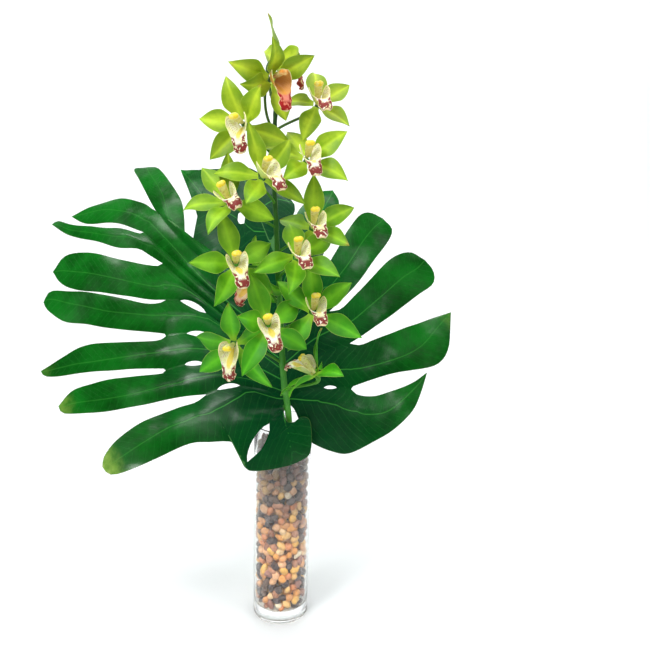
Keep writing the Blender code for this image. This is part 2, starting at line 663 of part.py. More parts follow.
def build():
    clear_scene()
    glass = principled("clear_glass", (0.95, 0.98, 0.97), 0.03, transmission=1.0)
    gravel = principled("river_gravel", (0.36, 0.25, 0.18), 0.6)
    leaf_green = principled("leaf_green", (0.01, 0.12, 0.02), 0.3)
    stalk_green = principled("stalk_green", (0.05, 0.22, 0.03), 0.45)
    tepal_green = principled("tepal_green", (0.28, 0.52, 0.05), 0.5)
    lip_cream = principled("lip_cream", (0.85, 0.78, 0.6), 0.5)
    column_yellow = principled("column_yellow", (0.7, 0.65, 0.15), 0.45)
    make_vase(glass)
    petiole = stalk(PETIOLE_PATH, PETIOLE_RADIUS, PETIOLE_RADIUS, 10)
    stem = stalk(STEM_PATH, STEM_RADIUS_LOW, STEM_RADIUS_TOP, 18)
    add_object("monstera_petiole", tube_mesh("monstera_petiole", *petiole, 8), stalk_green)
    add_object("orchid_stem", tube_mesh("orchid_stem", *stem, 8), stalk_green)
    bores = [make_bore("petiole_bore", *petiole, 8), make_bore("stem_bore", *stem, 8)]
    make_bed(gravel, bores)
    make_blade(leaf_green)
    shared = {"lip": lip_mesh(), "column": column_mesh()}
    for number, (place, pose, tepals) in enumerate(FLOWERS, 1):
        make_flower(number, place, pose, tepals, tepal_green, lip_cream, column_yellow, shared)


build()
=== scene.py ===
# %% [markdown]
# # A monstera leaf and a green orchid spike in a vase of gravel
# A florist's arrangement in a tall glass cylinder. One big split leaf stands at the back, a spike of green
# cymbidium orchids stands in front of it, and river gravel holds both stalks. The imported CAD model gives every
# size. This lesson dresses it, piece by piece, and every length here is in millimetres until it meets a mesh.

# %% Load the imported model
import math

import bmesh
import bpy
import numpy as np
from mathutils import Matrix, Vector


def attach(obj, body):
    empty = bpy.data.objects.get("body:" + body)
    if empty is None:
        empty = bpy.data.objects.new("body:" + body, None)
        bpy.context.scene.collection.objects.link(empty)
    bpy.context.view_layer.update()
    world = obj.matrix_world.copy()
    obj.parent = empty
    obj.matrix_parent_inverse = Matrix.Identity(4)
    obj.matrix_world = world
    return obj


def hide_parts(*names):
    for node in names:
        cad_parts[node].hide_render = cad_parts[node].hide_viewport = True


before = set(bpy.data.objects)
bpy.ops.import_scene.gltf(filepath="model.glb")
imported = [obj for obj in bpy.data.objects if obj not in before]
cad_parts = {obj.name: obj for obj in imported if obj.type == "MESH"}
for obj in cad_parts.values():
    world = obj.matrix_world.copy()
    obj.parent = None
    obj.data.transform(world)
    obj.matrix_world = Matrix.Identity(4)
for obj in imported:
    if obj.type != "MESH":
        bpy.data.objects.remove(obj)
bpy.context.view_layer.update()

MM = 0.001

# %% [markdown]
# ## Camera
# The arrangement is seen from a little above and almost straight in front, with a slightly tilted hand-held
# view. The camera's axes are worked out from its turn, its dip and its tilt, and written as the columns of
# its matrix, because that keeps the three angles readable.

# %% Camera
CAMERA_SPOT = Vector((0.0, -0.903, 0.681))
CAMERA_TURN, CAMERA_DIP, CAMERA_TILT = (math.radians(a) for a in (3.44, 15.0, 1.7))
LENS = 38.77

ahead = Vector((math.sin(CAMERA_TURN) * math.cos(CAMERA_DIP),
                math.cos(CAMERA_TURN) * math.cos(CAMERA_DIP), -math.sin(CAMERA_DIP)))
level = Vector((math.cos(CAMERA_TURN), -math.sin(CAMERA_TURN), 0))
upright = level.cross(ahead)
right = level * math.cos(CAMERA_TILT) + upright * math.sin(CAMERA_TILT)
up = upright * math.cos(CAMERA_TILT) - level * math.sin(CAMERA_TILT)
camera = bpy.data.objects.new("camera", bpy.data.cameras.new("camera"))
camera.data.lens = LENS
camera.matrix_world = Matrix.Translation(CAMERA_SPOT) @ Matrix((right, up, -ahead)).transposed().to_4x4()
bpy.context.scene.collection.objects.link(camera)
bpy.context.scene.camera = camera
print("camera", round(math.degrees(CAMERA_DIP)), "degrees down,", LENS, "mm lens")

# %% [markdown]
# ## Small helpers for node trees
# The world and every finish below are trees of nodes. A few helpers keep each tree short: they add a node
# with its values or links, work out a sum, ease a value between two limits, blend two colours, and link what
# a finish has worked out to its shader.


# %% Node helpers
def add_node(tree, kind, values=None, **settings):
    node = tree.nodes.new(kind)
    for name, value in settings.items():
        setattr(node, name, value)
    for socket, value in (values or {}).items():
        if isinstance(value, bpy.types.NodeSocket):
            tree.links.new(value, node.inputs[socket])
        else:
            node.inputs[socket].default_value = value
    return node


def calc(tree, operation, *terms):
    return add_node(tree, "ShaderNodeMath", dict(enumerate(terms)), operation=operation).outputs[0]


def times(tree, first, *others):
    """The product of two or more values."""
    for other in others:
        first = calc(tree, "MULTIPLY", first, other)
    return first


def ramp(tree, value, low, high, start=0.0, end=1.0):
    """value between low and high, eased, as start to end."""
    values = {"Value": value, "From Min": low, "From Max": high, "To Min": start, "To Max": end}
    return add_node(tree, "ShaderNodeMapRange", values, interpolation_type="SMOOTHSTEP").outputs["Result"]


def tint(tree, amount, first, second):
    """first, blended with second by amount."""
    node = add_node(tree, "ShaderNodeMix", data_type="RGBA")
    for index, value in ((0, amount), (6, first), (7, second)):
        if isinstance(value, bpy.types.NodeSocket):
            tree.links.new(value, node.inputs[index])
        else:
            node.inputs[index].default_value = value if index == 0 else (*value, 1.0)
    return node.outputs[2]


print("node helpers: add_node, calc, times, ramp, tint")


# %% Finish helpers
def attributes(tree, *names):
    """Values that the mesh carries on its points."""
    return [add_node(tree, "ShaderNodeAttribute", attribute_name=name).outputs["Fac"] for name in names]


def place_and_height(tree):
    """Where a point of the object is, and its height alone."""
    place = add_node(tree, "ShaderNodeTexCoord").outputs["Object"]
    return place, add_node(tree, "ShaderNodeSeparateXYZ", {0: place}).outputs["Z"]


def new_finish(name, **values):
    material = bpy.data.materials.new(name)
    material.use_nodes = True
    shader = material.node_tree.nodes["Principled BSDF"]
    for socket, value in values.items():
        shader.inputs[socket.replace("_", " ")].default_value = value
    return material, material.node_tree, shader


def feed(tree, shader, **values):
    for socket, value in values.items():
        tree.links.new(value, shader.inputs[socket.replace("_", " ")])


def feed_relief(tree, shader, height, strength, depth):
    """Fine relief, from a height that changes over the surface."""
    bump = add_node(tree, "ShaderNodeBump", {"Height": height, "Strength": strength, "Distance": depth})
    feed(tree, shader, Normal=bump.outputs["Normal"])


print("finish helpers: attributes, place_and_height, new_finish, feed, feed_relief")

# %% [markdown]
# ## Light and floor
# A white room. Bright surroundings wash out dark, glossy leaves, so the world lights them only dimly, but is
# plain white where the camera sees it, directly or through the glass. Large soft lights from above left and
# above right put the highlights on the leaf. Two more light only the backdrop and the near floor. The floor
# is one pale sheet that bends up far behind, so no horizon line shows.

# %% World
scene = bpy.context.scene
scene.view_settings.view_transform = "Standard"
world = bpy.data.worlds.new("white_room")
world.use_nodes = True
scene.world = world
sky = world.node_tree
dim_light = sky.nodes["Background"]
dim_light.inputs["Color"].default_value = (0.93, 0.97, 1.0, 1.0)
dim_light.inputs["Strength"].default_value = 0.4
white_paper = add_node(sky, "ShaderNodeBackground", {"Color": (1.0, 1.0, 1.0, 1.0)})
path = add_node(sky, "ShaderNodeLightPath")
seen = calc(sky, "MAXIMUM", path.outputs["Is Camera Ray"], path.outputs["Is Transmission Ray"])
either = add_node(sky, "ShaderNodeMixShader", {0: seen, 1: dim_light.outputs[0], 2: white_paper.outputs[0]})
sky.links.new(either.outputs[0], sky.nodes["World Output"].inputs["Surface"])
print("world:", world.name, "with", len(sky.nodes), "nodes")


# %% Soft lights
def soft_light(name, spot, aim, size, watts):
    lamp = bpy.data.lights.new(name, "AREA")
    lamp.shape = "RECTANGLE"
    lamp.size, lamp.size_y = size
    lamp.energy = watts
    lamp_object = bpy.data.objects.new(name, lamp)
    lamp_object.location = spot
    lamp_object.rotation_euler = (Vector(aim) - Vector(spot)).to_track_quat("-Z", "Y").to_euler()
    scene.collection.objects.link(lamp_object)


soft_light("window_left", (-0.9, -0.9, 1.7), (-0.1, 0.0, 0.5), (0.5, 0.8), 19)
soft_light("window_right", (1.1, -0.7, 1.5), (0.1, 0.0, 0.45), (0.4, 0.8), 7)
soft_light("ceiling", (0.0, 0.0, 2.4), (0.0, 0.1, 0.0), (2.4, 1.6), 11)
soft_light("backdrop", (0.0, 0.5, 2.5), (0.0, 1.7, 0.6), (3.0, 0.6), 34)
soft_light("near_floor", (0.0, -2.1, 2.3), (0.0, -2.3, 0.0), (3.0, 1.0), 16)

# %% Floor
FLOOR_FRONT, FLOOR_BACK, FLOOR_SIDE, BEND_RADIUS, WALL_TOP, BEND_STEPS = -3.0, 0.9, 3.0, 0.8, 3.0, 12
profile = [(FLOOR_FRONT, 0.0), (FLOOR_BACK, 0.0)]
for step in range(1, BEND_STEPS + 1):
    angle = math.radians(90 * step / BEND_STEPS)
    profile.append((FLOOR_BACK + BEND_RADIUS * math.sin(angle), BEND_RADIUS * (1 - math.cos(angle))))
profile.append((FLOOR_BACK + BEND_RADIUS, WALL_TOP))
floor_mesh = bpy.data.meshes.new("floor")
corners = [(side * FLOOR_SIDE, y, z) for y, z in profile for side in (-1, 1)]
strips = [(2 * i, 2 * i + 1, 2 * i + 3, 2 * i + 2) for i in range(len(profile) - 1)]
floor_mesh.from_pydata(corners, [], strips)
floor_mesh.shade_smooth()
floor = bpy.data.objects.new("floor", floor_mesh)
scene.collection.objects.link(floor)
print("floor", len(floor_mesh.polygons), "faces")

# %% Floor finish
floor_finish, tree, shader = new_finish("pale_floor", Roughness=0.6)
grain = add_node(tree, "ShaderNodeTexNoise", {"Scale": 3.0, "Detail": 3.0}).outputs["Fac"]
feed(tree, shader, Base_Color=tint(tree, grain, (0.90, 0.915, 0.92), (0.94, 0.95, 0.955)))
floor_mesh.materials.append(floor_finish)
print("finish", floor_finish.name)

# %% [markdown]
# ## Effects that several finishes share
# Leaf, stalks, petals and pebbles all show patches of a second colour, and petals and lips are both ruled
# with fine lengthwise veins and flecked with spots. Each effect is a node group, made once and placed in each
# finish with its own numbers. A group gives only colours, masks and heights; the shader stays in the finish.


# %% Group helper
def new_group(name, inputs, outputs):
    group = bpy.data.node_groups.new(name, "ShaderNodeTree")
    for label, kind, value in inputs:
        socket = group.interface.new_socket(label, in_out="INPUT", socket_type="NodeSocket" + kind)
        socket.default_value = (*value, 1.0) if kind == "Color" else value
    for label, kind in outputs:
        group.interface.new_socket(label, in_out="OUTPUT", socket_type="NodeSocket" + kind)
    return group, group.nodes.new("NodeGroupInput").outputs, group.nodes.new("NodeGroupOutput")


def put_out(group, out, **values):
    for label, value in values.items():
        group.links.new(value, out.inputs[label])


def use_group(tree, group, values):
    node = add_node(tree, "ShaderNodeGroup", node_tree=group)
    for socket, value in values.items():
        if isinstance(value, bpy.types.NodeSocket):
            tree.links.new(value, node.inputs[socket])
        else:
            node.inputs[socket].default_value = (*value, 1.0) if isinstance(value, tuple) else value
    return node


print("group helpers: new_group, put_out, use_group")

# %% Patches of a second colour
patches, given, out = new_group("patches", [("Color", "Color", (1, 1, 1)), ("Second", "Color", (0, 0, 0)),
                                            ("Scale", "Float", 20.0), ("Amount", "Float", 0.5)],
                                [("Color", "Color"), ("Height", "Float")])
place, _ = place_and_height(patches)
cloud = add_node(patches, "ShaderNodeTexNoise",
                 {"Vector": place, "Scale": given["Scale"], "Detail": 4.0, "Roughness": 0.6}).outputs["Fac"]
share = times(patches, ramp(patches, cloud, 0.3, 0.7), given["Amount"])
put_out(patches, out, Color=tint(patches, share, given["Color"], given["Second"]), Height=cloud)
print("shared effect:", patches.name)

# %% Lengthwise veins
veins, given, out = new_group("lengthwise_veins", [("Across", "Float", 0.0), ("Count", "Float", 8.0)],
                              [("Mask", "Float")])
wave = calc(veins, "SINE", times(veins, given["Across"], times(veins, given["Count"], math.pi)))
put_out(veins, out, Mask=ramp(veins, calc(veins, "ABSOLUTE", wave), 0.0, 0.55, 1.0, 0.0))
print("shared effect:", veins.name)

# %% Flecks
flecks, given, out = new_group("flecks", [("Scale", "Float", 400.0), ("Cover", "Float", 0.5)],
                               [("Mask", "Float")])
place, _ = place_and_height(flecks)
cloud = add_node(flecks, "ShaderNodeTexNoise",
                 {"Vector": place, "Scale": given["Scale"], "Detail": 1.0}).outputs["Fac"]
limit = calc(flecks, "SUBTRACT", 0.72, times(flecks, given["Cover"], 0.44))
put_out(flecks, out, Mask=ramp(flecks, calc(flecks, "SUBTRACT", cloud, limit), 0.0, 0.05))
print("shared effect:", flecks.name)

# %% [markdown]
# ## Small helpers for shapes
# Stalks, petals and the leaf are all rows of points skinned with faces. These helpers give a smooth curve
# through a few points, turn rows of points into a mesh in metres, and hang values on its points for the
# finishes to read, such as how far along a petal a point is.


# %% Curve helpers
def evenly(steps):
    """Fractions from 0 to 1 in equal steps."""
    return [k / steps for k in range(steps + 1)]


def ease(x):
    x = min(1.0, max(0.0, x))
    return x * x * (3 - 2 * x)


def smooth_curve(points, fractions, dense=24):
    """Points at the given fractions of the length of a smooth curve through the given points."""
    pts = [np.array(p, float) for p in points]
    if len(pts) == 2:
        return [pts[0] + (pts[1] - pts[0]) * f for f in fractions]
    ends = [2 * pts[0] - pts[1]] + pts + [2 * pts[-1] - pts[-2]]
    line = []
    for a, b, c, d in zip(ends, ends[1:], ends[2:], ends[3:]):
        for step in range(dense):
            t = step / dense
            line.append(0.5 * (2 * b + (c - a) * t + (2 * a - 5 * b + 4 * c - d) * t * t
                               + (3 * b - a - 3 * c + d) * t ** 3))
    line.append(pts[-1])
    line = np.array(line)
    walked = np.concatenate([[0], np.cumsum(np.linalg.norm(np.diff(line, axis=0), axis=1))])
    wanted = np.array(fractions) * walked[-1]
    return list(np.stack([np.interp(wanted, walked, line[:, k]) for k in range(line.shape[1])], 1))


print("half way, eased:", ease(0.5))


# %% Mesh helpers
def mesh_from(name, points, faces, values=None, sharp=50):
    """A smooth mesh in metres from points in millimetres, with named values on its points."""
    mesh = bpy.data.meshes.new(name)
    mesh.from_pydata([tuple(c * MM for c in p) for p in points], [], faces)
    for label, numbers in (values or {}).items():
        mesh.attributes.new(label, "FLOAT", "POINT").data.foreach_set("value", numbers)
    mesh.shade_smooth()
    mesh.set_sharp_from_angle(angle=math.radians(sharp))
    return mesh


def add_piece(name, mesh, finish, node):
    """Shows a finished piece in place of its CAD node."""
    mesh.materials.clear()
    mesh.materials.append(finish)
    piece = bpy.data.objects.new(name, mesh)
    scene.collection.objects.link(piece)
    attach(piece, "root")
    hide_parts(node)
    return piece


def grid_faces(rows, columns, first=0, closed=False):
    """Faces of a sheet of rows of points, or of a tube if it closes round."""
    faces = []
    for r in range(rows - 1):
        for c in range(columns if closed else columns - 1):
            a, b = first + r * columns + c, first + r * columns + (c + 1) % columns
            faces.append((a, b, b + columns, a + columns))
    return faces


print("a tube of 3 rings of 8 points has", len(grid_faces(3, 8, closed=True)), "faces")

# %% [markdown]
# ## The glass vase
# A clear cylinder with a heavy base, slightly hollowed underneath, and a rounded rim. It is a solid of
# revolution, so one profile is spun about the vertical axis: along the underside, up the outside, over the
# rim, down the inside and across the inner floor. Real wall thickness matters here, because the bright and
# dark lines at the edges come partly from it; painted shade, a grey-pink tint where the glass is seen edge-on,
# adds to them, and a painted reflection tints the very bottom amber. Glass would throw a black shadow on the
# gravel in it, so shadow rays meet a plain transparent surface instead.

# %% Vase shape
VASE_RADIUS, VASE_HEIGHT, VASE_WALL, VASE_FLOOR, VASE_HEEL = 40.0, 300.0, 2.2, 20.0, 4.5
VASE_SIDES = 120
UNDERSIDE = [(0, 1.8), (16, 1.7), (26, 1.2), (31, 0.5), (33, 0.0)]


def arc(centre, radius, start, end, steps):
    angles = [math.radians(start + (end - start) * k / steps) for k in range(steps + 1)]
    return [(centre[0] + radius * math.cos(a), centre[1] + radius * math.sin(a)) for a in angles]


def spun_mesh(name, profile, sides):
    """A closed solid of revolution: its profile runs from the axis below to the axis above."""
    points = [(0, 0, profile[0][1])]
    for radius, height in profile[1:-1]:
        for k in range(sides):
            turn = 2 * math.pi * k / sides
            points.append((radius * math.cos(turn), radius * math.sin(turn), height))
    points.append((0, 0, profile[-1][1]))
    faces = grid_faces(len(profile) - 2, sides, 1, closed=True)
    last = 1 + (len(profile) - 3) * sides
    for k in range(sides):
        faces.append((0, 1 + (k + 1) % sides, 1 + k))
        faces.append((len(points) - 1, last + k, last + (k + 1) % sides))
    return mesh_from(name, points, faces)


inner = VASE_RADIUS - VASE_WALL
lip_radius = VASE_WALL / 2
profile = UNDERSIDE + arc((VASE_RADIUS - VASE_HEEL, VASE_HEEL), VASE_HEEL, -90, 0, 8)
profile += [(VASE_RADIUS, VASE_HEIGHT * k / 6) for k in range(1, 6)]
profile += arc((VASE_RADIUS - lip_radius, VASE_HEIGHT - lip_radius), lip_radius, 0, 180, 10)
profile += [(inner, VASE_HEIGHT * k / 6) for k in range(5, 0, -1)]
profile += arc((inner - VASE_HEEL, VASE_FLOOR + VASE_HEEL), VASE_HEEL, 0, -90, 8)
profile += [(0, VASE_FLOOR)]
vase_mesh = spun_mesh("vase_glass", profile, VASE_SIDES)
print("vase", len(vase_mesh.polygons), "faces")

# %% Glass finish
glass, tree, shader = new_finish("clear_glass", Roughness=0.01, IOR=1.47, Specular_IOR_Level=0.18,
                                 Transmission_Weight=1.0)
smears = use_group(tree, patches, {"Color": (0.985, 0.985, 0.98), "Second": (0.955, 0.965, 0.955),
                                   "Scale": 14.0, "Amount": 0.6})
place, height = place_and_height(tree)
# Painted shade: where the glass is seen edge-on it is tinted grey-pink, for the dark lines at its edges.
edge_on = add_node(tree, "ShaderNodeLayerWeight", {"Blend": 0.5}).outputs["Facing"]
body = tint(tree, ramp(tree, edge_on, 0.72, 0.98, 0.0, 0.55), smears.outputs["Color"], (0.60, 0.52, 0.50))
# Painted reflection: the lowest few millimetres of the glass are tinted amber-brown.
body = tint(tree, ramp(tree, height, 0.0005, 0.0045, 0.6, 0.0), body, (0.62, 0.45, 0.26))
feed(tree, shader, Base_Color=body, Roughness=ramp(tree, smears.outputs["Height"], 0.55, 0.8, 0.0, 0.05))
clear = add_node(tree, "ShaderNodeBsdfTransparent", {"Color": (0.94, 0.97, 0.96, 1.0)})
shadow_only = add_node(tree, "ShaderNodeLightPath").outputs["Is Shadow Ray"]
either = add_node(tree, "ShaderNodeMixShader", {0: shadow_only, 1: shader.outputs[0], 2: clear.outputs[0]})
tree.links.new(either.outputs[0], tree.nodes["Material Output"].inputs["Surface"])
add_piece("vase_glass", vase_mesh, glass, "vase")
print("finish", glass.name)

# %% [markdown]
# ## The gravel
# Several hundred river pebbles, no two alike, lie against the glass. Modelling each would be endless, so
# Geometry Nodes scatter points on a few nested shells inside the vase, set one rounded stone on each point
# with its flattest side to the glass, and give each its own size, turn and number for its colour. After the
# stones are made real, noise dents them and whatever reaches past the glass is pressed back.

# %% Gravel finish
gravel, tree, shader = new_finish("river_gravel", Roughness=0.42, Specular_IOR_Level=0.3)
palette = add_node(tree, "ShaderNodeValToRGB", {"Fac": attributes(tree, "stone")[0]})
palette.color_ramp.interpolation = "CONSTANT"
STONE_COLORS = [(0.80, 0.34, 0.07), (0.32, 0.12, 0.06), (0.88, 0.52, 0.18), (0.045, 0.03, 0.03),
                (0.66, 0.23, 0.08), (0.84, 0.46, 0.24), (0.12, 0.07, 0.05), (0.90, 0.50, 0.10),
                (0.50, 0.22, 0.12), (0.92, 0.78, 0.56), (0.07, 0.055, 0.06), (0.76, 0.34, 0.12),
                (0.38, 0.17, 0.13), (0.88, 0.60, 0.32)]
while len(palette.color_ramp.elements) < len(STONE_COLORS):
    palette.color_ramp.elements.new(0.5)
for index, color in enumerate(STONE_COLORS):
    palette.color_ramp.elements[index].position = index / len(STONE_COLORS)
    palette.color_ramp.elements[index].color = (*color, 1.0)
grain = use_group(tree, patches, {"Color": palette.outputs["Color"], "Second": (0.20, 0.12, 0.08),
                                  "Scale": 260.0, "Amount": 0.3})
place, height = place_and_height(tree)
# Painted shade: the stones darken towards the top of the bed, where the leaf shades them.
shaded_top = ramp(tree, height, 0.10, 0.25, 0.0, 0.72)
feed(tree, shader, Base_Color=tint(tree, shaded_top, grain.outputs["Color"], (0.045, 0.032, 0.02)),
     Roughness=ramp(tree, grain.outputs["Height"], 0.3, 0.7, 0.3, 0.6))
feed_relief(tree, shader, grain.outputs["Height"], 0.35, 0.0006)
print("finish", gravel.name, "with", len(STONE_COLORS), "stone colours")


# %% Gravel node tree
def geo_tree(name, inputs):
    """An empty geometry tree with named inputs, its input node and its output node."""
    tree = bpy.data.node_groups.new(name, "GeometryNodeTree")
    tree.interface.new_socket("Geometry", in_out="OUTPUT", socket_type="NodeSocketGeometry")
    for label, kind, value in inputs:
        socket = tree.interface.new_socket(label, in_out="INPUT", socket_type="NodeSocket" + kind)
        if value is not None:
            socket.default_value = value
    return tree, tree.nodes.new("NodeGroupInput").outputs, tree.nodes.new("NodeGroupOutput")


def dress(tree, geometry, finish, out):
    """Ends a tree: smooth faces, a finish, and the way out."""
    soft = add_node(tree, "GeometryNodeSetShadeSmooth", {"Geometry": geometry})
    dressed = add_node(tree, "GeometryNodeSetMaterial", {"Geometry": soft.outputs[0], "Material": finish})
    tree.links.new(dressed.outputs[0], out.inputs[0])


print("tree helpers: geo_tree, dress")

# %% Points for the stones
BED_RADIUS = 0.0376
SHELL_INSETS, SHELL_SHORTER = (0.0052, 0.0135, 0.0225), 0.010
DISK_INSET, UNDER_TOP, OVER_BOTTOM = 0.006, -0.004, 0.0045
POINTS_PER_AREA = 40000.0
g, given, out = geo_tree("gravel_fill", [("Bed radius", "Float", BED_RADIUS), ("Bed bottom", "Float", 0.0205),
                                         ("Bed top", "Float", 0.268), ("Spacing", "Float", 0.0086),
                                         ("Stone size", "Float", 1.0), ("Seed", "Int", 7)])


def scatter_on(sheet, height, seed):
    """Points, well apart, on a sheet lifted to a height."""
    lift = add_node(g, "ShaderNodeCombineXYZ", {"Z": height})
    lifted = add_node(g, "GeometryNodeTransform", {"Geometry": sheet, "Translation": lift.outputs[0]})
    return add_node(g, "GeometryNodeDistributePointsOnFaces",
                    {"Mesh": lifted.outputs[0], "Distance Min": given["Spacing"],
                     "Density Max": POINTS_PER_AREA, "Seed": calc(g, "ADD", given["Seed"], seed)},
                    distribute_method="POISSON")


depth = calc(g, "SUBTRACT", given["Bed top"], given["Bed bottom"])
middle = times(g, calc(g, "ADD", given["Bed top"], given["Bed bottom"]), 0.5)
scatters = []
for shell, inset in enumerate(SHELL_INSETS):
    tube = add_node(g, "GeometryNodeMeshCylinder",
                    {"Vertices": 48, "Radius": calc(g, "SUBTRACT", given["Bed radius"], inset),
                     "Depth": calc(g, "SUBTRACT", depth, SHELL_SHORTER)}, fill_type="NONE")
    scatters.append(scatter_on(tube.outputs["Mesh"], middle, shell))
for end, shift, seed in ((given["Bed top"], UNDER_TOP, 11), (given["Bed bottom"], OVER_BOTTOM, 12)):
    disk = add_node(g, "GeometryNodeMeshCircle",
                    {"Vertices": 32, "Radius": calc(g, "SUBTRACT", given["Bed radius"], DISK_INSET)},
                    fill_type="NGON")
    scatters.append(scatter_on(disk.outputs["Mesh"], calc(g, "ADD", end, shift), seed))
print(len(scatters), "sheets of points")

# %% Stones on the points
TILT, FULL_TURN = 0.3, 6.28
SMALLEST, LARGEST = (0.0048, 0.0042, 0.0034), (0.0088, 0.0066, 0.0050)


def random_value(seed, kind="FLOAT", **limits):
    node = add_node(g, "FunctionNodeRandomValue", {**limits, "Seed": seed}, data_type=kind)
    return node.outputs[1 if kind == "FLOAT" else 0]


placed = add_node(g, "GeometryNodeJoinGeometry")
for number, scatter in enumerate(scatters):
    nudge = random_value(number, "FLOAT_VECTOR", Min=(-TILT, -TILT, 0.0), Max=(TILT, TILT, FULL_TURN))
    spin = add_node(g, "FunctionNodeEulerToRotation", {0: nudge})
    turned = add_node(g, "FunctionNodeRotateRotation", {"Rotation": scatter.outputs["Rotation"],
                                                        "Rotate By": spin.outputs[0]}, rotation_space="LOCAL")
    size = random_value(20 + number, "FLOAT_VECTOR", Min=SMALLEST, Max=LARGEST)
    sized = add_node(g, "ShaderNodeVectorMath", {0: size, "Scale": given["Stone size"]}, operation="SCALE")
    stone = add_node(g, "GeometryNodeMeshIcoSphere", {"Radius": 1.0, "Subdivisions": 2})
    set_down = add_node(g, "GeometryNodeInstanceOnPoints",
                        {"Points": scatter.outputs["Points"], "Instance": stone.outputs["Mesh"],
                         "Rotation": turned.outputs[0], "Scale": sized.outputs[0]})
    named = add_node(g, "GeometryNodeStoreNamedAttribute",
                     {"Geometry": set_down.outputs[0], "Name": "stone", "Value": random_value(40 + number)},
                     data_type="FLOAT", domain="INSTANCE")
    g.links.new(named.outputs[0], placed.inputs[0])
print("a stone on every point, and a colour number on every stone")

# %% Dents, and the press of the glass
DENT_SCALE, DENT_DEPTH = 95.0, 0.0066
real = add_node(g, "GeometryNodeRealizeInstances", {0: placed.outputs[0]})
spot = add_node(g, "GeometryNodeInputPosition").outputs[0]
dent = add_node(g, "ShaderNodeTexNoise", {"Vector": spot, "Scale": DENT_SCALE, "Detail": 1.0},
                noise_dimensions="3D").outputs["Fac"]
push = add_node(g, "ShaderNodeVectorMath", {0: add_node(g, "GeometryNodeInputNormal").outputs[0],
                                            "Scale": times(g, calc(g, "SUBTRACT", dent, 0.5), DENT_DEPTH)},
                operation="SCALE")
dented = add_node(g, "GeometryNodeSetPosition", {"Geometry": real.outputs[0], "Offset": push.outputs[0]})
parts = add_node(g, "ShaderNodeSeparateXYZ", {0: add_node(g, "GeometryNodeInputPosition").outputs[0]})
x, y, z = parts.outputs
reach = calc(g, "SQRT", calc(g, "ADD", times(g, x, x), times(g, y, y)))
squeeze = calc(g, "MINIMUM", 1.0, calc(g, "DIVIDE", given["Bed radius"], reach))
pressed = add_node(g, "ShaderNodeCombineXYZ", {"X": times(g, x, squeeze), "Y": times(g, y, squeeze),
                                               "Z": calc(g, "MAXIMUM", z, given["Bed bottom"])})
settled = add_node(g, "GeometryNodeSetPosition",
                   {"Geometry": dented.outputs[0], "Position": pressed.outputs[0]})
dress(g, settled.outputs[0], gravel, out)
print("gravel tree:", len(g.nodes), "nodes")


# %% Run a tree and keep the plain mesh
def grown_mesh(name, tree, values, base=None):
    """The mesh that a geometry tree makes, with its modifier gone."""
    grower = bpy.data.objects.new(name + "_grower", base or bpy.data.meshes.new(name + "_base"))
    scene.collection.objects.link(grower)
    modifier = grower.modifiers.new("grow", "NODES")
    modifier.node_group = tree
    sockets = {s.name: s.identifier for s in tree.interface.items_tree if s.in_out == "INPUT"}
    for label, value in values.items():
        modifier[sockets[label]] = value
    seen = grower.evaluated_get(bpy.context.evaluated_depsgraph_get())
    mesh = bpy.data.meshes.new_from_object(seen)
    mesh.name = name
    bpy.data.objects.remove(grower)
    return mesh


STONE_FACES = 80
pebble_mesh = grown_mesh("pebbles", g, {"Bed radius": BED_RADIUS, "Seed": 7})
add_piece("pebbles", pebble_mesh, gravel, "pebble_bed")
print("pebbles", len(pebble_mesh.polygons) // STONE_FACES, "stones,", len(pebble_mesh.polygons), "faces")

# %% [markdown]
# ## The monstera leaf: its outline
# The leaf leans back behind the flowers. It is a sheet split into fingers: each slit runs from the midrib
# out, closed at first and open from its inner end on, and some closed stretches part again as a hole. So the
# leaf is written down as a list of cuts. Each cut has a path, perhaps a hole, and the edge of the finger
# before it and of the finger after it. Smooth curves through these few points give the natural outline.

# %% Place and arch of the leaf
LEAF_BASE = Vector((2.4, -22.0, 332.5))
LEAF_LEAN, LEAF_TURN = math.radians(35.0), math.radians(-2.5)
SIDE_ARCH, TIP_ARCH, TIP_ARCH_START = 0.0006, 0.0008, 200.0
SHOULDER, FRONT_LOBE_HANG, BACK_LOBE_DIP = 9.5, 0.47, 13.0
MIDRIB = [(-64, 390), (-43, 357), (-22, 320), (-10, 302), (-7, 248), (-4, 152), (0, 78), (0, 0)]
MIDRIB_HALF_WIDTH = 2.2


def leaf_point(u, v, w):
    """A point of the leaf from its own plane: across, along the midrib, and out of the plane."""
    along = Vector((0, math.sin(LEAF_LEAN), math.cos(LEAF_LEAN)))
    out = Vector((0, -math.cos(LEAF_LEAN), math.sin(LEAF_LEAN)))
    aside = Vector((math.cos(LEAF_TURN), 0, 0)) - along * math.sin(LEAF_TURN)
    upwards = along * math.cos(LEAF_TURN) + Vector((math.sin(LEAF_TURN), 0, 0))
    return LEAF_BASE + aside * u + upwards * v + out * w


def leaf_relief(u, v, side):
    """How far the leaf stands out of its plane: it arches, and its basal lobes part round the stem."""
    out = -SIDE_ARCH * u * u - TIP_ARCH * max(0.0, v - TIP_ARCH_START) ** 2
    if side < 0:
        front = ease((u + 78) / 42)
        out += front * (SHOULDER * ease(-v / 20) + FRONT_LOBE_HANG * min(0.0, v + 22))
    elif v < 0:
        out -= BACK_LOBE_DIP * ease(-v / 45) * math.exp(-((u - 30) / 45) ** 2)
    return out


def midrib_across(v):
    return float(np.interp(v, [p[1] for p in reversed(MIDRIB)], [p[0] for p in reversed(MIDRIB)]))


def midrib_half_width(v):
    return MIDRIB_HALF_WIDTH * (1 - 0.75 * v / MIDRIB[0][1])


print("the leaf's tip is at", [round(c) for c in leaf_point(*MIDRIB[0], leaf_relief(*MIDRIB[0], -1))])


# %% Cuts of the left half
def cut(root, path=(), hole=None, before=(), after=()):
    """A cut from the midrib: its path, its hole, and the edges of the fingers before and after it."""
    return {"root": root, "path": list(path), "hole": hole, "before": list(before), "after": list(after)}


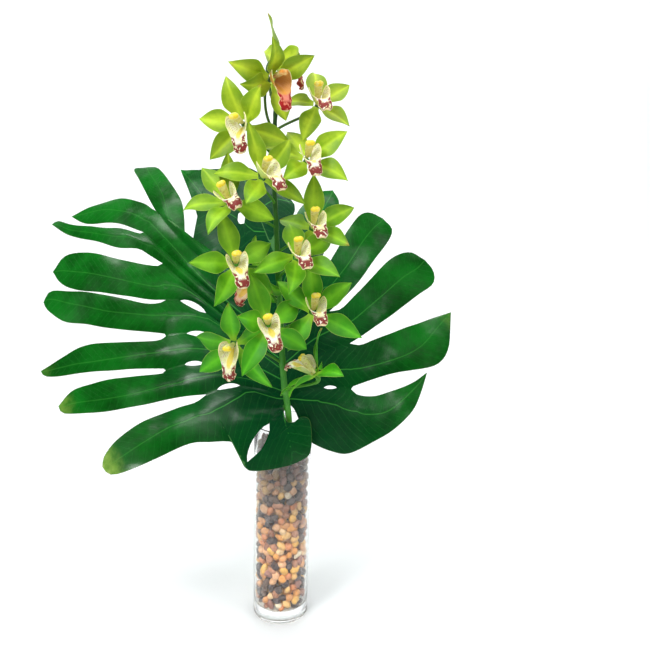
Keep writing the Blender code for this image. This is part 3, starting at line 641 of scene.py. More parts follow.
LEFT_CUTS = [
    cut(390, after=[(-84, 389), (-121, 391), (-152, 395)]),
    cut(130, path=[(-50, 190), (-100, 235), (-127, 257)],
         before=[(-121, 268), (-119, 285), (-134, 339), (-152, 395)],
         after=[(-134, 258), (-139, 266), (-142, 301), (-148, 331), (-167, 369), (-190, 407), (-209, 410)]),
    cut(105, path=[(-50, 155), (-120, 228), (-160, 278), (-183, 313)],
         before=[(-186, 316), (-197, 338), (-215, 379), (-229, 411), (-209, 410)],
         after=[(-192, 320), (-209, 335), (-248, 352), (-290, 345), (-325, 333)]),
    cut(82, path=[(-50, 122), (-125, 195), (-202, 278)],
         before=[(-216, 286), (-239, 299), (-267, 307), (-300, 314), (-325, 333)],
         after=[(-211, 278), (-240, 292), (-282, 303), (-322, 316), (-348, 331), (-358, 326)]),
    cut(66, path=[(-60, 112), (-120, 170), (-171, 221)],
         before=[(-191, 237), (-209, 250), (-239, 257), (-277, 276), (-325, 297), (-358, 326)],
         after=[(-180, 218), (-211, 227), (-252, 244), (-290, 258), (-327, 258), (-344, 236)]),
    cut(52, path=[(-60, 100), (-128, 153), (-164, 163)], hole=(0.68, 0.90, 4.5),
         before=[(-188, 166), (-224, 176), (-267, 189), (-309, 201), (-330, 215), (-344, 236)],
         after=[(-175, 159), (-195, 161), (-225, 172), (-267, 186), (-309, 197), (-345, 204), (-355, 188)]),
    cut(38, path=[(-60, 75), (-115, 107), (-163, 108)], hole=(0.58, 0.84, 4.5),
         before=[(-166, 112), (-232, 126), (-278, 140), (-317, 150), (-346, 173), (-355, 188)],
         after=[(-173, 103), (-200, 104), (-249, 108), (-288, 107), (-315, 96), (-349, 80)]),
    cut(26, path=[(-60, 52), (-121, 65), (-162, 58)], hole=(0.68, 0.84, 3.5),
         before=[(-166, 61), (-229, 66), (-285, 68), (-318, 67), (-341, 71), (-349, 80)],
         after=[(-170, 54), (-228, 54), (-274, 49), (-300, 42), (-316, 24)]),
    cut(14, path=[(-40, 26), (-75, 30), (-105, 20)], hole=(0.56, 0.86, 3.5),
         before=[(-137, 19), (-199, 12), (-253, 8), (-305, 12), (-316, 24)],
         after=[(-120, 10), (-145, 4), (-189, -10), (-223, -30), (-243, -52), (-245, -67)]),
    cut(4, path=[(-14, -14), (-26, -33), (-39, -52), (-49, -68), (-56, -78)], hole=(0.36, 0.93, 8.0),
         before=[(-53, -64), (-62, -53), (-74, -46), (-100, -45), (-127, -45), (-170, -61), (-212, -76),
                 (-234, -78), (-245, -67)],
         after=[(-48, -83), (-22, -82), (6, -77), (25, -70)]),
    cut(0, before=[(-1.5, -14), (2, -24), (12, -25), (22, -19), (32, -24), (34, -48), (31, -64), (25, -70)]),
]
print(len(LEFT_CUTS) - 1, "fingers on the left")

# %% Cuts of the right half
RIGHT_CUTS = [
    cut(390, after=[(-43, 387), (-24, 370), (-5, 347), (15, 325),
                                                         (24, 311)]),
    cut(200, path=[(4, 252), (15, 276)], before=[(20, 288), (24, 300), (24, 311)],
         after=[(24, 288), (32, 303), (47, 321), (66, 337), (84, 340)]),
    cut(120, path=[(24, 165), (56, 204)],
         before=[(67, 234), (81, 265), (88, 290), (92, 318), (84, 340)],
         after=[(65, 201), (75, 217), (87, 238), (102, 266), (121, 292), (138, 299), (158, 291)]),
    cut(75, path=[(35, 112), (67, 134)],
         before=[(92, 158), (116, 185), (142, 222), (165, 254), (171, 274), (158, 291)],
         after=[(84, 138), (106, 160), (132, 187), (164, 220), (196, 235), (218, 223)]),
    cut(42, path=[(50, 70), (93, 86)],
         before=[(115, 100), (158, 131), (199, 163), (226, 183), (230, 205), (218, 223)],
         after=[(108, 84), (128, 92), (156, 103), (209, 125), (251, 141)]),
    cut(12, path=[(30, 19), (61, 23), (91, 20)], hole=(0.58, 0.78, 2.5),
         before=[(94, 24), (155, 44), (207, 53), (228, 65), (240, 84), (246, 110), (251, 141)],
         after=[(100, 12), (122, 10), (144, 16), (179, 30), (203, 46)]),
    cut(0, before=[(9, -2), (15, -12), (19, -24), (24, -36), (32, -48), (58, -62), (83, -67), (118, -52),
                 (148, -35), (175, -11), (190, 15), (203, 46)]),
]
print(len(RIGHT_CUTS) - 1, "fingers on the right")

# %% Main veins of some fingers, and how far each finger's tip has faded
LEFT_VEINS = {2: [(-90, 165), (-126, 206), (-165, 259), (-217, 311), (-280, 335)],
              4: [(-60, 120), (-109, 177), (-177, 183), (-276, 218), (-330, 235)],
              5: [(-86, 127), (-233, 150), (-330, 186)], 6: [(-60, 70), (-121, 85), (-230, 82), (-330, 80)],
              7: [(-50, 38), (-103, 45), (-212, 27), (-300, 25)],
              8: [(-10, 5), (-32, 23), (-64, 11), (-90, -2), (-160, -25), (-225, -60)]}
RIGHT_VEINS = {4: [(15, 28), (57, 44), (113, 50), (156, 62), (192, 80), (235, 125)],
               5: [(8, 8), (39, 4), (61, 0), (100, -14), (140, -12), (185, 25)]}
LOOSE_VEIN_FINGER, LOOSE_VEIN = 9, [(-3, -12), (0, -28), (4, -43), (6, -60)]
LEFT_FADES = {5: 0.15, 6: 0.3, 7: 0.5, 8: 0.8}
RIGHT_FADES = {4: 0.35}
SLIGHT_FADE = 0.12
print(len(LEFT_CUTS) + len(RIGHT_CUTS), "cuts make", len(LEFT_CUTS) + len(RIGHT_CUTS) - 2, "fingers")

# %% [markdown]
# ## The leaf as a mesh
# Each finger is a ladder: rungs go from one edge to the other, from the midrib out to the tip, and a column
# of points follows the finger's vein. The sheet is folded up a little on each side of the vein, and waves
# towards its free edges. Every point also remembers its distance to the vein, to the free edge and along the
# finger, so the finish can draw veins, rims and faded tips exactly where they belong. The ladders share
# their closed edges, so the leaf stays one skin.

# %% Edges of the cuts
CUT_STEPS, LOBE_STEPS, RUNG_STEPS = 24, 26, 16


def cut_stations(cut):
    """Fractions along a cut's closed part, with both ends of its hole among them."""
    if cut["hole"] is None:
        return evenly(CUT_STEPS)
    start, end, _ = cut["hole"]
    third = CUT_STEPS // 3
    rises = [start * k / third for k in range(third)]
    inside = [start + (end - start) * k / third for k in range(third)]
    return rises + inside + [end + (1 - end) * k / third for k in range(third + 1)]


def cut_edges(cut, side):
    """The two edges of a cut: one for the finger before it and one for the finger after it."""
    root = (midrib_across(cut["root"]) + side * midrib_half_width(cut["root"]), cut["root"])
    free = evenly(LOBE_STEPS)[1:]
    if not cut["path"]:
        whole = evenly(CUT_STEPS + LOBE_STEPS)
        return [smooth_curve([root] + cut[key], whole) if cut[key] else None for key in ("before", "after")]
    stations = cut_stations(cut)
    common = smooth_curve([root] + cut["path"], stations)
    edges = []
    for key, sign in (("before", 1), ("after", -1)):
        line = [p.copy() for p in common]
        if cut["hole"]:
            start, end, half = cut["hole"]
            for i, station in enumerate(stations):
                if start + 1e-6 < station < end - 1e-6:
                    run = common[i + 1] - common[i - 1]
                    normal = np.array([run[1], -run[0]]) / np.linalg.norm(run) * side
                    bulge = math.sin(math.pi * (station - start) / (end - start)) ** 0.6
                    line[i] = line[i] - normal * half * bulge * sign
        edges.append(line + smooth_curve([cut["path"][-1]] + cut[key], free))
    return edges


print("each edge has", len(cut_edges(LEFT_CUTS[2], -1)[0]), "points")


# %% Where the vein crosses each rung
def vein_shares(near, far, vein):
    """For each rung, the share of its length at which the finger's vein crosses it."""
    count = len(near)
    if vein is None:
        return [0.5] * count
    line = smooth_curve(vein, evenly(60))
    found = []
    for i in range(count):
        a, across = near[i], far[i] - near[i]
        for p, q in zip(line, line[1:]):
            step = q - p
            det = across[0] * -step[1] + step[0] * across[1]
            if abs(det) < 1e-9:
                continue
            t = ((p - a)[0] * -step[1] + step[0] * (p - a)[1]) / det
            k = (across[0] * (p - a)[1] - across[1] * (p - a)[0]) / det
            if 0 <= k <= 1 and 0.12 < t < 0.88:
                found.append((i, t))
                break
    if not found:
        return [0.5] * count
    stations = [0] + [i for i, _ in found] + [count + 8]
    shares = [found[0][1]] + [t for _, t in found] + [0.5]
    raw = np.interp(range(count), stations, shares)
    padded = np.pad(raw, 3, mode="edge")
    return list(np.convolve(padded, np.ones(7) / 7, mode="valid"))


print("without a vein:", vein_shares([0, 0], [1, 1], None))


# %% The sheet that gathers the points
class LeafSheet:
    """The leaf's upper skin: its points, their places in the leaf's plane, their values and its faces."""

    def __init__(self):
        self.points, self.spots, self.faces, self.known = [], [], [], {}
        self.values = {"off_vein": [], "along_vein": [], "edge": [], "fade": []}

    def add(self, point, spot, off, along, edge, fade):
        key = tuple(round(c, 3) for c in point)
        if key not in self.known:
            self.known[key] = len(self.points)
            self.points.append(point)
            self.spots.append(spot)
            for label, value in zip(self.values, (off, along, edge, fade)):
                self.values[label].append(value)
        return self.known[key]


sheet = LeafSheet()
print("the sheet carries", list(sheet.values))

# %% One finger
LOBE_FOLD, GROOVE_DEPTH, GROOVE_WIDTH = 5.0, 1.1, 2.6
SLOW_WAVE, QUICK_WAVE = (1.6, 21), (0.9, 9)
INSIDE_RIM, FADE_START = 30.0, 0.84


def add_finger(sheet, near, far, side, vein, fade, phase, first, last, loose=None):
    count = len(near) - 1
    loose_line = np.array(smooth_curve(loose or [(0, 0), (1, 1)], evenly(40)))
    shares = vein_shares(near, far, vein)
    rows, middle, walked = [], None, 0.0
    for i, (a, b) in enumerate(zip(near, far)):
        width = np.linalg.norm(b - a)
        crest = a + (b - a) * shares[i]
        if middle is not None:
            walked += np.linalg.norm(crest - middle)
        middle = crest
        slack = ease((i - CUT_STEPS) / LOBE_STEPS * 2)
        row = []
        for step in range(RUNG_STEPS + 1):
            x = 2 * step / RUNG_STEPS - 1
            t = shares[i] * (1 + x) if x < 0 else shares[i] + (1 - shares[i]) * x
            u, v = a + (b - a) * t
            if i == 0:
                u = midrib_across(v) + side * midrib_half_width(v)
            roof = LOBE_FOLD * (1 - abs(x) ** 1.6) * math.sin(math.pi * min(1, i / count + 0.02)) ** 0.6
            off = abs(t - shares[i]) * width
            if loose:
                off = float(np.linalg.norm(loose_line - (u, v), axis=1).min())
            groove = -GROOVE_DEPTH * math.exp(-(off / GROOVE_WIDTH) ** 2) * min(1.0, i / 4) * (1 - i / count)
            wave = slack * x * x * (SLOW_WAVE[0] * math.sin(walked / SLOW_WAVE[1] + phase + 2.2 * x)
                                    + QUICK_WAVE[0] * math.sin(walked / QUICK_WAVE[1] + 3 * phase))
            lift = (roof + groove) * min(1.0, width / 40) + wave * min(1.0, width / 30)
            rim = min(t, 1 - t) * width
            free_rim = rim if i > CUT_STEPS else INSIDE_RIM
            if (first and x < 0) or (last and x > 0):
                free_rim = rim
            place = leaf_point(u, v, leaf_relief(u, v, side) + lift)
            faded = fade * ease((i / count - FADE_START) / (1 - FADE_START))
            row.append(sheet.add(place, (u, v), off, walked, free_rim, faded))
            if i == count:
                row = row * (RUNG_STEPS + 1)
                break
        rows.append(row)
    for low, high in zip(rows, rows[1:]):
        for k in range(RUNG_STEPS):
            face = [low[k], low[k + 1], high[k + 1], high[k]]
            clean = [p for n, p in enumerate(face) if p != face[n - 1]]
            if len(clean) > 2:
                sheet.faces.append(tuple(clean if side > 0 else reversed(clean)))
    return rows[0]


print("a rung has", RUNG_STEPS + 1, "points")


# %% Build the ladders and close the midrib
def zip_midrib(sheet, left, right):
    """Triangles between the two rows of points along the midrib, from the tip down."""
    i = j = 0
    while i < len(left) - 1 or j < len(right) - 1:
        left_is_higher = (i < len(left) - 1 and j < len(right) - 1
                          and sheet.spots[left[i + 1]][1] >= sheet.spots[right[j + 1]][1])
        if j == len(right) - 1 or left_is_higher:
            sheet.faces.append((left[i], left[i + 1], right[j]))
            i += 1
        else:
            sheet.faces.append((left[i], right[j + 1], right[j]))
            j += 1


chains = []
for side, cuts, vein_lines, fades in ((-1, LEFT_CUTS, LEFT_VEINS, LEFT_FADES),
                                      (1, RIGHT_CUTS, RIGHT_VEINS, RIGHT_FADES)):
    edges = [cut_edges(one_cut, side) for one_cut in cuts]
    chain = []
    for index, (before, after) in enumerate(zip(edges, edges[1:])):
        loose = LOOSE_VEIN if side < 0 and index == LOOSE_VEIN_FINGER else None
        row = add_finger(sheet, before[1], after[0], side, vein_lines.get(index), fades.get(index, SLIGHT_FADE),
                         1.7 * index + side, index == 0, index == len(cuts) - 2, loose)
        chain += row if not chain else row[1:]
    chains.append(chain)
zip_midrib(sheet, *chains)
print("leaf sheet:", len(sheet.points), "points,", len(sheet.faces), "faces")

# %% [markdown]
# ## A small hole near the midrib
# One oval hole lies inside a finger rather than on a cut. The faces inside the oval are dropped, and the
# points left round it are moved onto the oval, so its rim is smooth.

# %% Oval hole
HOLE_SPOT, HOLE_HALVES = (-56.0, 286.0), (6.5, 11.0)


def oval_reach(spot):
    return math.hypot((spot[0] - HOLE_SPOT[0]) / HOLE_HALVES[0], (spot[1] - HOLE_SPOT[1]) / HOLE_HALVES[1])


kept, rim_points = [], set()
for face in sheet.faces:
    middle = [sum(sheet.spots[i][k] for i in face) / len(face) for k in (0, 1)]
    if oval_reach(middle) < 1.0:
        rim_points.update(face)
    else:
        kept.append(face)
used = {i for face in kept for i in face}
for i in rim_points & used:
    u, v = sheet.spots[i]
    reach = max(oval_reach((u, v)), 0.05)
    moved = (HOLE_SPOT[0] + (u - HOLE_SPOT[0]) / reach, HOLE_SPOT[1] + (v - HOLE_SPOT[1]) / reach)
    shift = leaf_point(*moved, 0) - leaf_point(u, v, 0)
    sheet.points[i] = sheet.points[i] + shift
    sheet.values["edge"][i] = 0.0
print("dropped", len(sheet.faces) - len(kept), "faces for the hole")

# %% Give the leaf its thickness
BLADE_THICKNESS, MIDRIB_DEPTH = 0.8, 2.5
rib = set(chains[0]) | set(chains[1])
order = sorted(used)
renumbered = {old: new for new, old in enumerate(order)}
faces = [tuple(renumbered[i] for i in face) for face in kept]
points = [sheet.points[i] for i in order]
normals = [Vector() for _ in points]
for face in faces:
    corner = [points[i] for i in face]
    normal = (corner[1] - corner[0]).cross(corner[2] - corner[0])
    for i in face:
        normals[i] += normal
facing = leaf_point(0, 0, 1) - leaf_point(0, 0, 0)
turned = -1 if sum(n.dot(facing) for n in normals) < 0 else 1
normals = [n.normalized() * turned for n in normals]
front = [p + n * BLADE_THICKNESS / 2 for p, n in zip(points, normals)]
back = []
for old, p, n in zip(order, points, normals):
    depth = BLADE_THICKNESS / 2
    if old in rib:
        depth += MIDRIB_DEPTH * (1 - 0.8 * sheet.spots[old][1] / MIDRIB[0][1])
    back.append(p - n * depth)
count = len(points)
if turned < 0:
    faces = [tuple(reversed(face)) for face in faces]
borders = {pair: True for face in faces for pair in zip(face, face[1:] + face[:1])}
shell = faces + [tuple(i + count for i in reversed(face)) for face in faces]
shell += [(b, a, a + count, b + count) for a, b in borders if (b, a) not in borders]
values = {label: [numbers[i] for i in order] * 2 for label, numbers in sheet.values.items()}
values["under"] = [0.0] * count + [1.0] * count
leaf_mesh = mesh_from("monstera_leaf", front + back, shell, values, sharp=62)
print("leaf:", len(leaf_mesh.polygons), "faces")

# %% [markdown]
# ## Leaf finish
# The upper side is deep green, darker and bluer near the middle, with one pale vein in each finger, faint side
# veins that leave it at a slant, and a thin rim. Some tips have faded to yellow-green and straw, and the
# underside is paler and duller. All of it is drawn from the distances that the mesh carries. The wax that
# makes a leaf shine lies unevenly, so a clear coat covers it in large patches.

# %% Leaf finish
leaf_finish, tree, shader = new_finish("leaf_green", Roughness=0.25, Specular_IOR_Level=0.04,
                                       Coat_Roughness=0.24)
off, along, rim, fade, under = attributes(tree, "off_vein", "along_vein", "edge", "fade", "under")
cloud = use_group(tree, patches, {"Color": (0.0015, 0.055, 0.003), "Second": (0.005, 0.155, 0.010),
                                  "Scale": 16.0, "Amount": 0.8})
streaks = use_group(tree, patches, {"Scale": 90.0})
deep = ramp(tree, along, 25.0, 215.0, 0.92, 0.0)
body = tint(tree, deep, cloud.outputs["Color"], (0.001, 0.036, 0.011))
slant = calc(tree, "DIVIDE", calc(tree, "SUBTRACT", along, times(tree, off, 0.85)), 11.0)
slant = calc(tree, "ADD", slant, times(tree, streaks.outputs["Height"], 0.5))
saw = calc(tree, "ABSOLUTE", calc(tree, "SUBTRACT", calc(tree, "FRACT", slant), 0.5))
side_vein = times(tree, ramp(tree, saw, 0.43, 0.5), ramp(tree, off, 1.0, 4.0))
main_vein = times(tree, ramp(tree, off, 0.35, 1.3, 1.0, 0.0), ramp(tree, along, 0.0, 260.0, 1.0, 0.35))
body = tint(tree, times(tree, side_vein, 0.2), body, (0.02, 0.22, 0.03))
body = tint(tree, times(tree, main_vein, 0.6), body, (0.05, 0.32, 0.04))
worn = times(tree, fade, ramp(tree, streaks.outputs["Height"], 0.2, 0.75, 0.55, 1.0))
body = tint(tree, ramp(tree, worn, 0.1, 0.6), body, (0.16, 0.30, 0.04))
body = tint(tree, ramp(tree, worn, 0.5, 0.95), body, (0.62, 0.55, 0.26))
body = tint(tree, ramp(tree, rim, 0.1, 0.9, 0.55, 0.0), body, (0.10, 0.16, 0.04))
body = tint(tree, times(tree, under, 0.55), body, (0.09, 0.25, 0.07))
gloss = calc(tree, "ADD", ramp(tree, streaks.outputs["Height"], 0.3, 0.7, 0.22, 0.40), times(tree, under, 0.25))
wax = use_group(tree, patches, {"Scale": 9.0}).outputs["Height"]
thin_wax = calc(tree, "SUBTRACT", 1.0, times(tree, deep, 0.7))
feed(tree, shader, Base_Color=body, Roughness=gloss,
     Coat_Weight=times(tree, ramp(tree, wax, 0.46, 0.64, 0.0, 0.7), thin_wax))
relief = calc(tree, "ADD", times(tree, side_vein, -0.5), times(tree, main_vein, -0.8))
relief = calc(tree, "ADD", relief, times(tree, streaks.outputs["Height"], 0.5))
feed_relief(tree, shader, relief, 0.5, 0.0008)
add_piece("monstera_leaf", leaf_mesh, leaf_finish, "monstera_blade")
print("finish", leaf_finish.name)

# %% [markdown]
# ## The stalks
# The leaf's stalk and the orchid's flowering stem are round rods that follow a bent path and get thinner.
# Geometry Nodes suit this: a line of points that carry a radius becomes a curve, and a circle is swept
# along it. The same tree grows both, each from its own line.

# %% Stalk node tree
stalk_tree, given, out = geo_tree("stalk_grower", [("Line", "Geometry", None), ("Sides", "Int", 14),
                                                   ("Thickness", "Float", 1.0), ("Finish", "Material", None)])
curve = add_node(stalk_tree, "GeometryNodeMeshToCurve", {"Mesh": given["Line"]})
thickness = add_node(stalk_tree, "GeometryNodeInputNamedAttribute", {"Name": "thickness"}, data_type="FLOAT")
circle = add_node(stalk_tree, "GeometryNodeCurvePrimitiveCircle", {"Resolution": given["Sides"], "Radius": 1.0})
swept = add_node(stalk_tree, "GeometryNodeCurveToMesh",
                 {"Curve": curve.outputs[0], "Profile Curve": circle.outputs[0], "Fill Caps": True,
                  "Scale": times(stalk_tree, thickness.outputs["Attribute"], given["Thickness"])})
real = add_node(stalk_tree, "GeometryNodeRealizeInstances", {0: swept.outputs[0]})
dress(stalk_tree, real.outputs[0], given["Finish"], out)
print("stalk tree:", len(stalk_tree.nodes), "nodes")

# %% Stalk finish
stalk_finish, tree, shader = new_finish("stalk_green", Roughness=0.38, Specular_IOR_Level=0.25)
place, height = place_and_height(tree)
cloud = use_group(tree, patches, {"Color": (0.035, 0.22, 0.02), "Second": (0.10, 0.36, 0.035), "Scale": 40.0,
                                  "Amount": 0.7})
stretched = add_node(tree, "ShaderNodeMapping", {"Vector": place, "Scale": (900.0, 900.0, 14.0)})
fibre = add_node(tree, "ShaderNodeTexNoise",
                 {"Vector": stretched.outputs[0], "Scale": 1.0, "Detail": 2.0}).outputs["Fac"]
body = tint(tree, ramp(tree, height, 0.42, 0.70, 0.0, 0.9), cloud.outputs["Color"], (0.012, 0.035, 0.012))
body = tint(tree, ramp(tree, fibre, 0.5, 0.75, 0.0, 0.25), body, (0.10, 0.30, 0.04))
# Painted shade: from just above the top of the gravel downwards, the stalks are painted near black-brown, as if
# shaded by the stones.
body = tint(tree, ramp(tree, height, 0.270, 0.305, 0.93, 0.0), body, (0.025, 0.022, 0.012))
feed(tree, shader, Base_Color=body, Roughness=ramp(tree, fibre, 0.2, 0.8, 0.3, 0.5))
feed_relief(tree, shader, fibre, 0.3, 0.0004)
print("finish", stalk_finish.name)

# %% Lines of the leaf's stalk and the orchid's stem
PETIOLE_PATH = [(-8, -4, 140), (-9, -8, 250), (-8, -12, 300), (-3, -17, 321), (2.2, -21.2, 331.5)]
STEM_PATH = [(4, -8, 120), (7, -22, 240), (8.5, -27.5, 295), (6, -31.5, 332), (0, -34, 375),
             (-4, -36, 440), (-11, -33, 560), (-17, -31, 664), (-15, -29, 690), (-14, -27, 712)]
STEM_RADIUS_LOW, STEM_RADIUS_TOP, STEM_STEPS = 5.5, 2.4, 60
PETIOLE_RADIUS_LOW, PETIOLE_RADIUS_TOP = 4.0, 3.6
JOINT_SWELL, JOINT_REACH = 0.22, 4.0


def stalk_line(name, path, low, top, steps, joints=()):
    """A mesh line along a stalk, carrying its radius, a little swollen at each joint."""
    fractions = evenly(steps)
    line = smooth_curve(path, fractions)
    mesh = bpy.data.meshes.new(name)
    mesh.from_pydata([tuple(c * MM for c in p) for p in line], [(i, i + 1) for i in range(steps)], [])
    radii = []
    for f, p in zip(fractions, line):
        swell = sum(JOINT_SWELL * math.exp(-((p[2] - z) / JOINT_REACH) ** 2) for z in joints)
        radii.append((low + (top - low) * f) * (1 + swell) * MM)
    mesh.attributes.new("thickness", "FLOAT", "POINT").data.foreach_set("value", radii)
    return mesh


def stem_spot(height):
    """The stem's middle and radius at a height."""
    line = np.array(smooth_curve(STEM_PATH, evenly(STEM_STEPS)))
    radii = np.linspace(STEM_RADIUS_LOW, STEM_RADIUS_TOP, STEM_STEPS + 1)
    return (Vector([float(np.interp(height, line[:, 2], line[:, k])) for k in range(3)]),
            float(np.interp(height, line[:, 2], radii)))


print("stem radius at half its height:", round(stem_spot(410)[1], 2))

# %% [markdown]
# ## The flowers: where they are
# Fifteen flowers go up the stem, most of them facing out and a little up. A row gives each flower's middle,
# how it is turned, tipped and rolled, and for its five sepals and petals the clockwise angle from up, the
# angle forward and the length. Nothing repeats exactly, because no two orchid flowers hold their petals alike.

# %% Flower table
FLOWERS = [
    ((-16, 2, 768), (110, 5, 0), ((-30, -14, 60), (70, 0, 50), (140, 0, 50), (225, 0, 50), (275, 15, 57))),
    ((-19, -36, 745), (31, -5, -5), ((-20, 40, 59), (58, 30, 57), (166, 14, 50), (262, 14, 44), (289, 4, 57))),
    ((37, -2, 720), (5, 35, -10), ((10, -5, 56), (62, -5, 54), (150, 15, 56), (212, 0, 56), (315, -35, 54))),
    ((-51, -52, 693), (-15, 0, -15), ((-5, 10, 56), (47, 22, 54), (125, -15, 58), (237, 15, 57), (290, 3, 54))),
    ((24, -47, 655), (10, 25, -5), ((-15, -28, 57), (65, 26, 58), (131, 21, 57), (229, 30, 57), (298, -10, 56))),
    ((-28, -73, 635), (25, 30, -10), ((-7, 25, 63), (54, 20, 57), (137, 0, 59), (230, 18, 59), (298, -20, 57))),
    ((-66, -68, 605), (-10, 35, -38), ((-5, 3, 58), (35, 27, 56), (140, -20, 56), (233, 25, 58), (293, 8, 56))),
    ((33, -58, 575), (8, 39, -5), ((6, 33, 64), (71, 12, 57), (144, 28, 59), (226, -58, 44), (317, -35, 57))),
    ((14, -83, 543), (8, 39, -9), ((4, -4, 52), (65, 0, 56), (140, 22, 62), (203, 20, 59), (256, 8, 57))),
    ((-58, -83, 533), (9, 20, -9), ((-7, 12, 67), (65, -22, 57), (138, -10, 58), (216, 17, 58), (279, 20, 57))),
    ((-34, -27, 508), (-54, -29, 40), ((-23, -15, 60), (68, 0, 50), (140, -10, 55), (220, -10, 55),
                                       (298, 0, 55))),
    ((35, -74, 475), (9, 39, -3), ((0, 28, 62), (63, 25, 59), (126, 0, 68), (222, -25, 58), (315, 10, 58))),
    ((-19, -104, 465), (5, 19, -14), ((-5, 7, 66), (66, -30, 58), (134, -18, 60), (222, 0, 67), (299, 28, 42))),
    ((-62, -65, 430), (-12, -12, -2), ((0, 4, 59), (60, -15, 56), (135, 16, 72), (232, 14, 59), (270, -17, 57))),
    ((40, -70, 392), (-105, 40, 35), ((8, -19, 58), (80, 12, 56), (150, 17, 58), (225, 0, 56), (305, 38, 60))),
]
PEDICEL_DROP = 34.0
PEDICEL_SHIFTS = {2: (17, 60), 10: (-16, 0)}
HUB_RADIUS, OVARY_RADIUS, PEDICEL_RADIUS = 5.0, 2.7, 1.7
TEPAL_WIDTH, TEPAL_CUP, TEPAL_BEND, FLOWER_SIZE = 25.0, 0.16, 3.0, 0.95


def flower_frame(place, pose):
    """A flower's place and turn, as one matrix in millimetres."""
    yaw, pitch, roll = (math.radians(a) for a in pose)
    turn = Matrix.Rotation(yaw, 4, "Z") @ Matrix.Rotation(-pitch, 4, "X") @ Matrix.Rotation(math.pi / 2, 4, "X")
    return Matrix.Translation(Vector(place)) @ turn @ Matrix.Rotation(-roll, 4, "Z")


def joint_height(number, place):
    """Where on the stem a flower's own stalk joins it."""
    return min(place[2] - PEDICEL_DROP, STEM_PATH[-1][2] - 6) - PEDICEL_SHIFTS.get(number, (0, 0))[0]


print(len(FLOWERS), "flowers,", sum(len(row[2]) for row in FLOWERS), "sepals and petals")

# %% Grow the stalks
joints = [joint_height(number, row[0]) for number, row in enumerate(FLOWERS, 1)]
stem_line = stalk_line("stem_line", STEM_PATH, STEM_RADIUS_LOW, STEM_RADIUS_TOP, 110, joints)
petiole_line = stalk_line("petiole_line", PETIOLE_PATH, PETIOLE_RADIUS_LOW, PETIOLE_RADIUS_TOP, 50)
for name, line, node in (("orchid_flower_stem", stem_line, "orchid_stem"),
                         ("monstera_stalk", petiole_line, "monstera_petiole")):
    stalk_mesh = grown_mesh(name, stalk_tree, {"Sides": 16, "Thickness": 1.0, "Finish": stalk_finish}, line)
    add_piece(name, stalk_mesh, stalk_finish, node)
    print(name, len(stalk_mesh.polygons), "faces")

# %% [markdown]
# ## One sepal or petal
# It is a thin, slightly cupped blade with a shallow fold along its middle, widest past half way, with a
# pointed tip that curls a little. Each is a closed skin: a ring of points, front and back, at each station
# from its narrow foot to its tip.


# %% Shape of a sepal or petal
def around(angle):
    """Unit vector at a clockwise angle from up, in the flower's plane."""
    angle = math.radians(angle)
    return Vector((math.sin(angle), math.cos(angle), 0))


def tepal_shape(s):
    """Half width of a sepal or petal along its length, as a share of its widest."""
    swell = 0.30 + 0.70 * ease(s / 0.46)
    return swell * max(0.0, 1 - (max(0.0, s - 0.44) / 0.56) ** 1.8) ** 1.02


TEPAL_STEPS, TEPAL_COLUMNS = 22, 12
CURL_START, CURL_STRENGTH = 0.62, 24


def tepal_rings(index, tepal, habit):
    """Rings of points round a sepal or petal, with how far along and across each lies."""
    angle, lift, length = tepal
    lift = math.radians(lift)
    slot = around(72 * index) * HUB_RADIUS
    tip = around(angle) * math.cos(lift) * length + Vector((0, 0, math.sin(lift) * length))
    side_root, side_tip = around(72 * index + 90), around(angle + 90)
    points, along, across = [], [], []
    for k in range(TEPAL_STEPS + 1):
        s = 0.997 * (k / TEPAL_STEPS) ** 0.92
        side = side_root.lerp(side_tip, ease(s * 2.5)).normalized()
        forward = side.cross(tip - slot).normalized()
        if forward.z < 0:
            forward = -forward
        forward = Vector((0, 0, 1)).lerp(forward, ease(s * 5)).normalized()
        twist = habit["twist"] * s
        side, forward = (side * math.cos(twist) + forward * math.sin(twist),
                         forward * math.cos(twist) - side * math.sin(twist))
        curl = habit["curl"] * max(0.0, s - CURL_START) ** 2 * CURL_STRENGTH
        bend = TEPAL_BEND * math.sin(math.pi * s) + curl
        middle = slot.lerp(tip, s) + forward * bend
        half = max(0.15, TEPAL_WIDTH / 2 * habit["width"] * tepal_shape(s))
        ring_front, ring_back = [], []
        for j in range(TEPAL_COLUMNS + 1):
            x = 2 * j / TEPAL_COLUMNS - 1
            cup = TEPAL_CUP * half * x * x * ease(s * 3) * 1.25
            fold = habit["fold"] * math.exp(-(x / 0.3) ** 2) * ease(s * 3) * (1 - s ** 2)
            wave = habit["wave"] * math.sin(7.5 * s + habit["phase"] + x) * x * x * ease((s - 0.15) * 2)
            thick = 0.12 + 0.48 * (1 - x * x) * (1 - 0.6 * s)
            spot = middle + side * half * x + forward * (cup - fold + wave)
            ring_front.append((spot + forward * thick, x))
            ring_back.append((spot - forward * thick, x))
        for spot, x in ring_front + ring_back[::-1]:
            points.append(spot)
            along.append(s)
            across.append(x)
    return points, along, across


print("half width of a petal at its middle:", round(TEPAL_WIDTH / 2 * tepal_shape(0.5), 1), "mm")


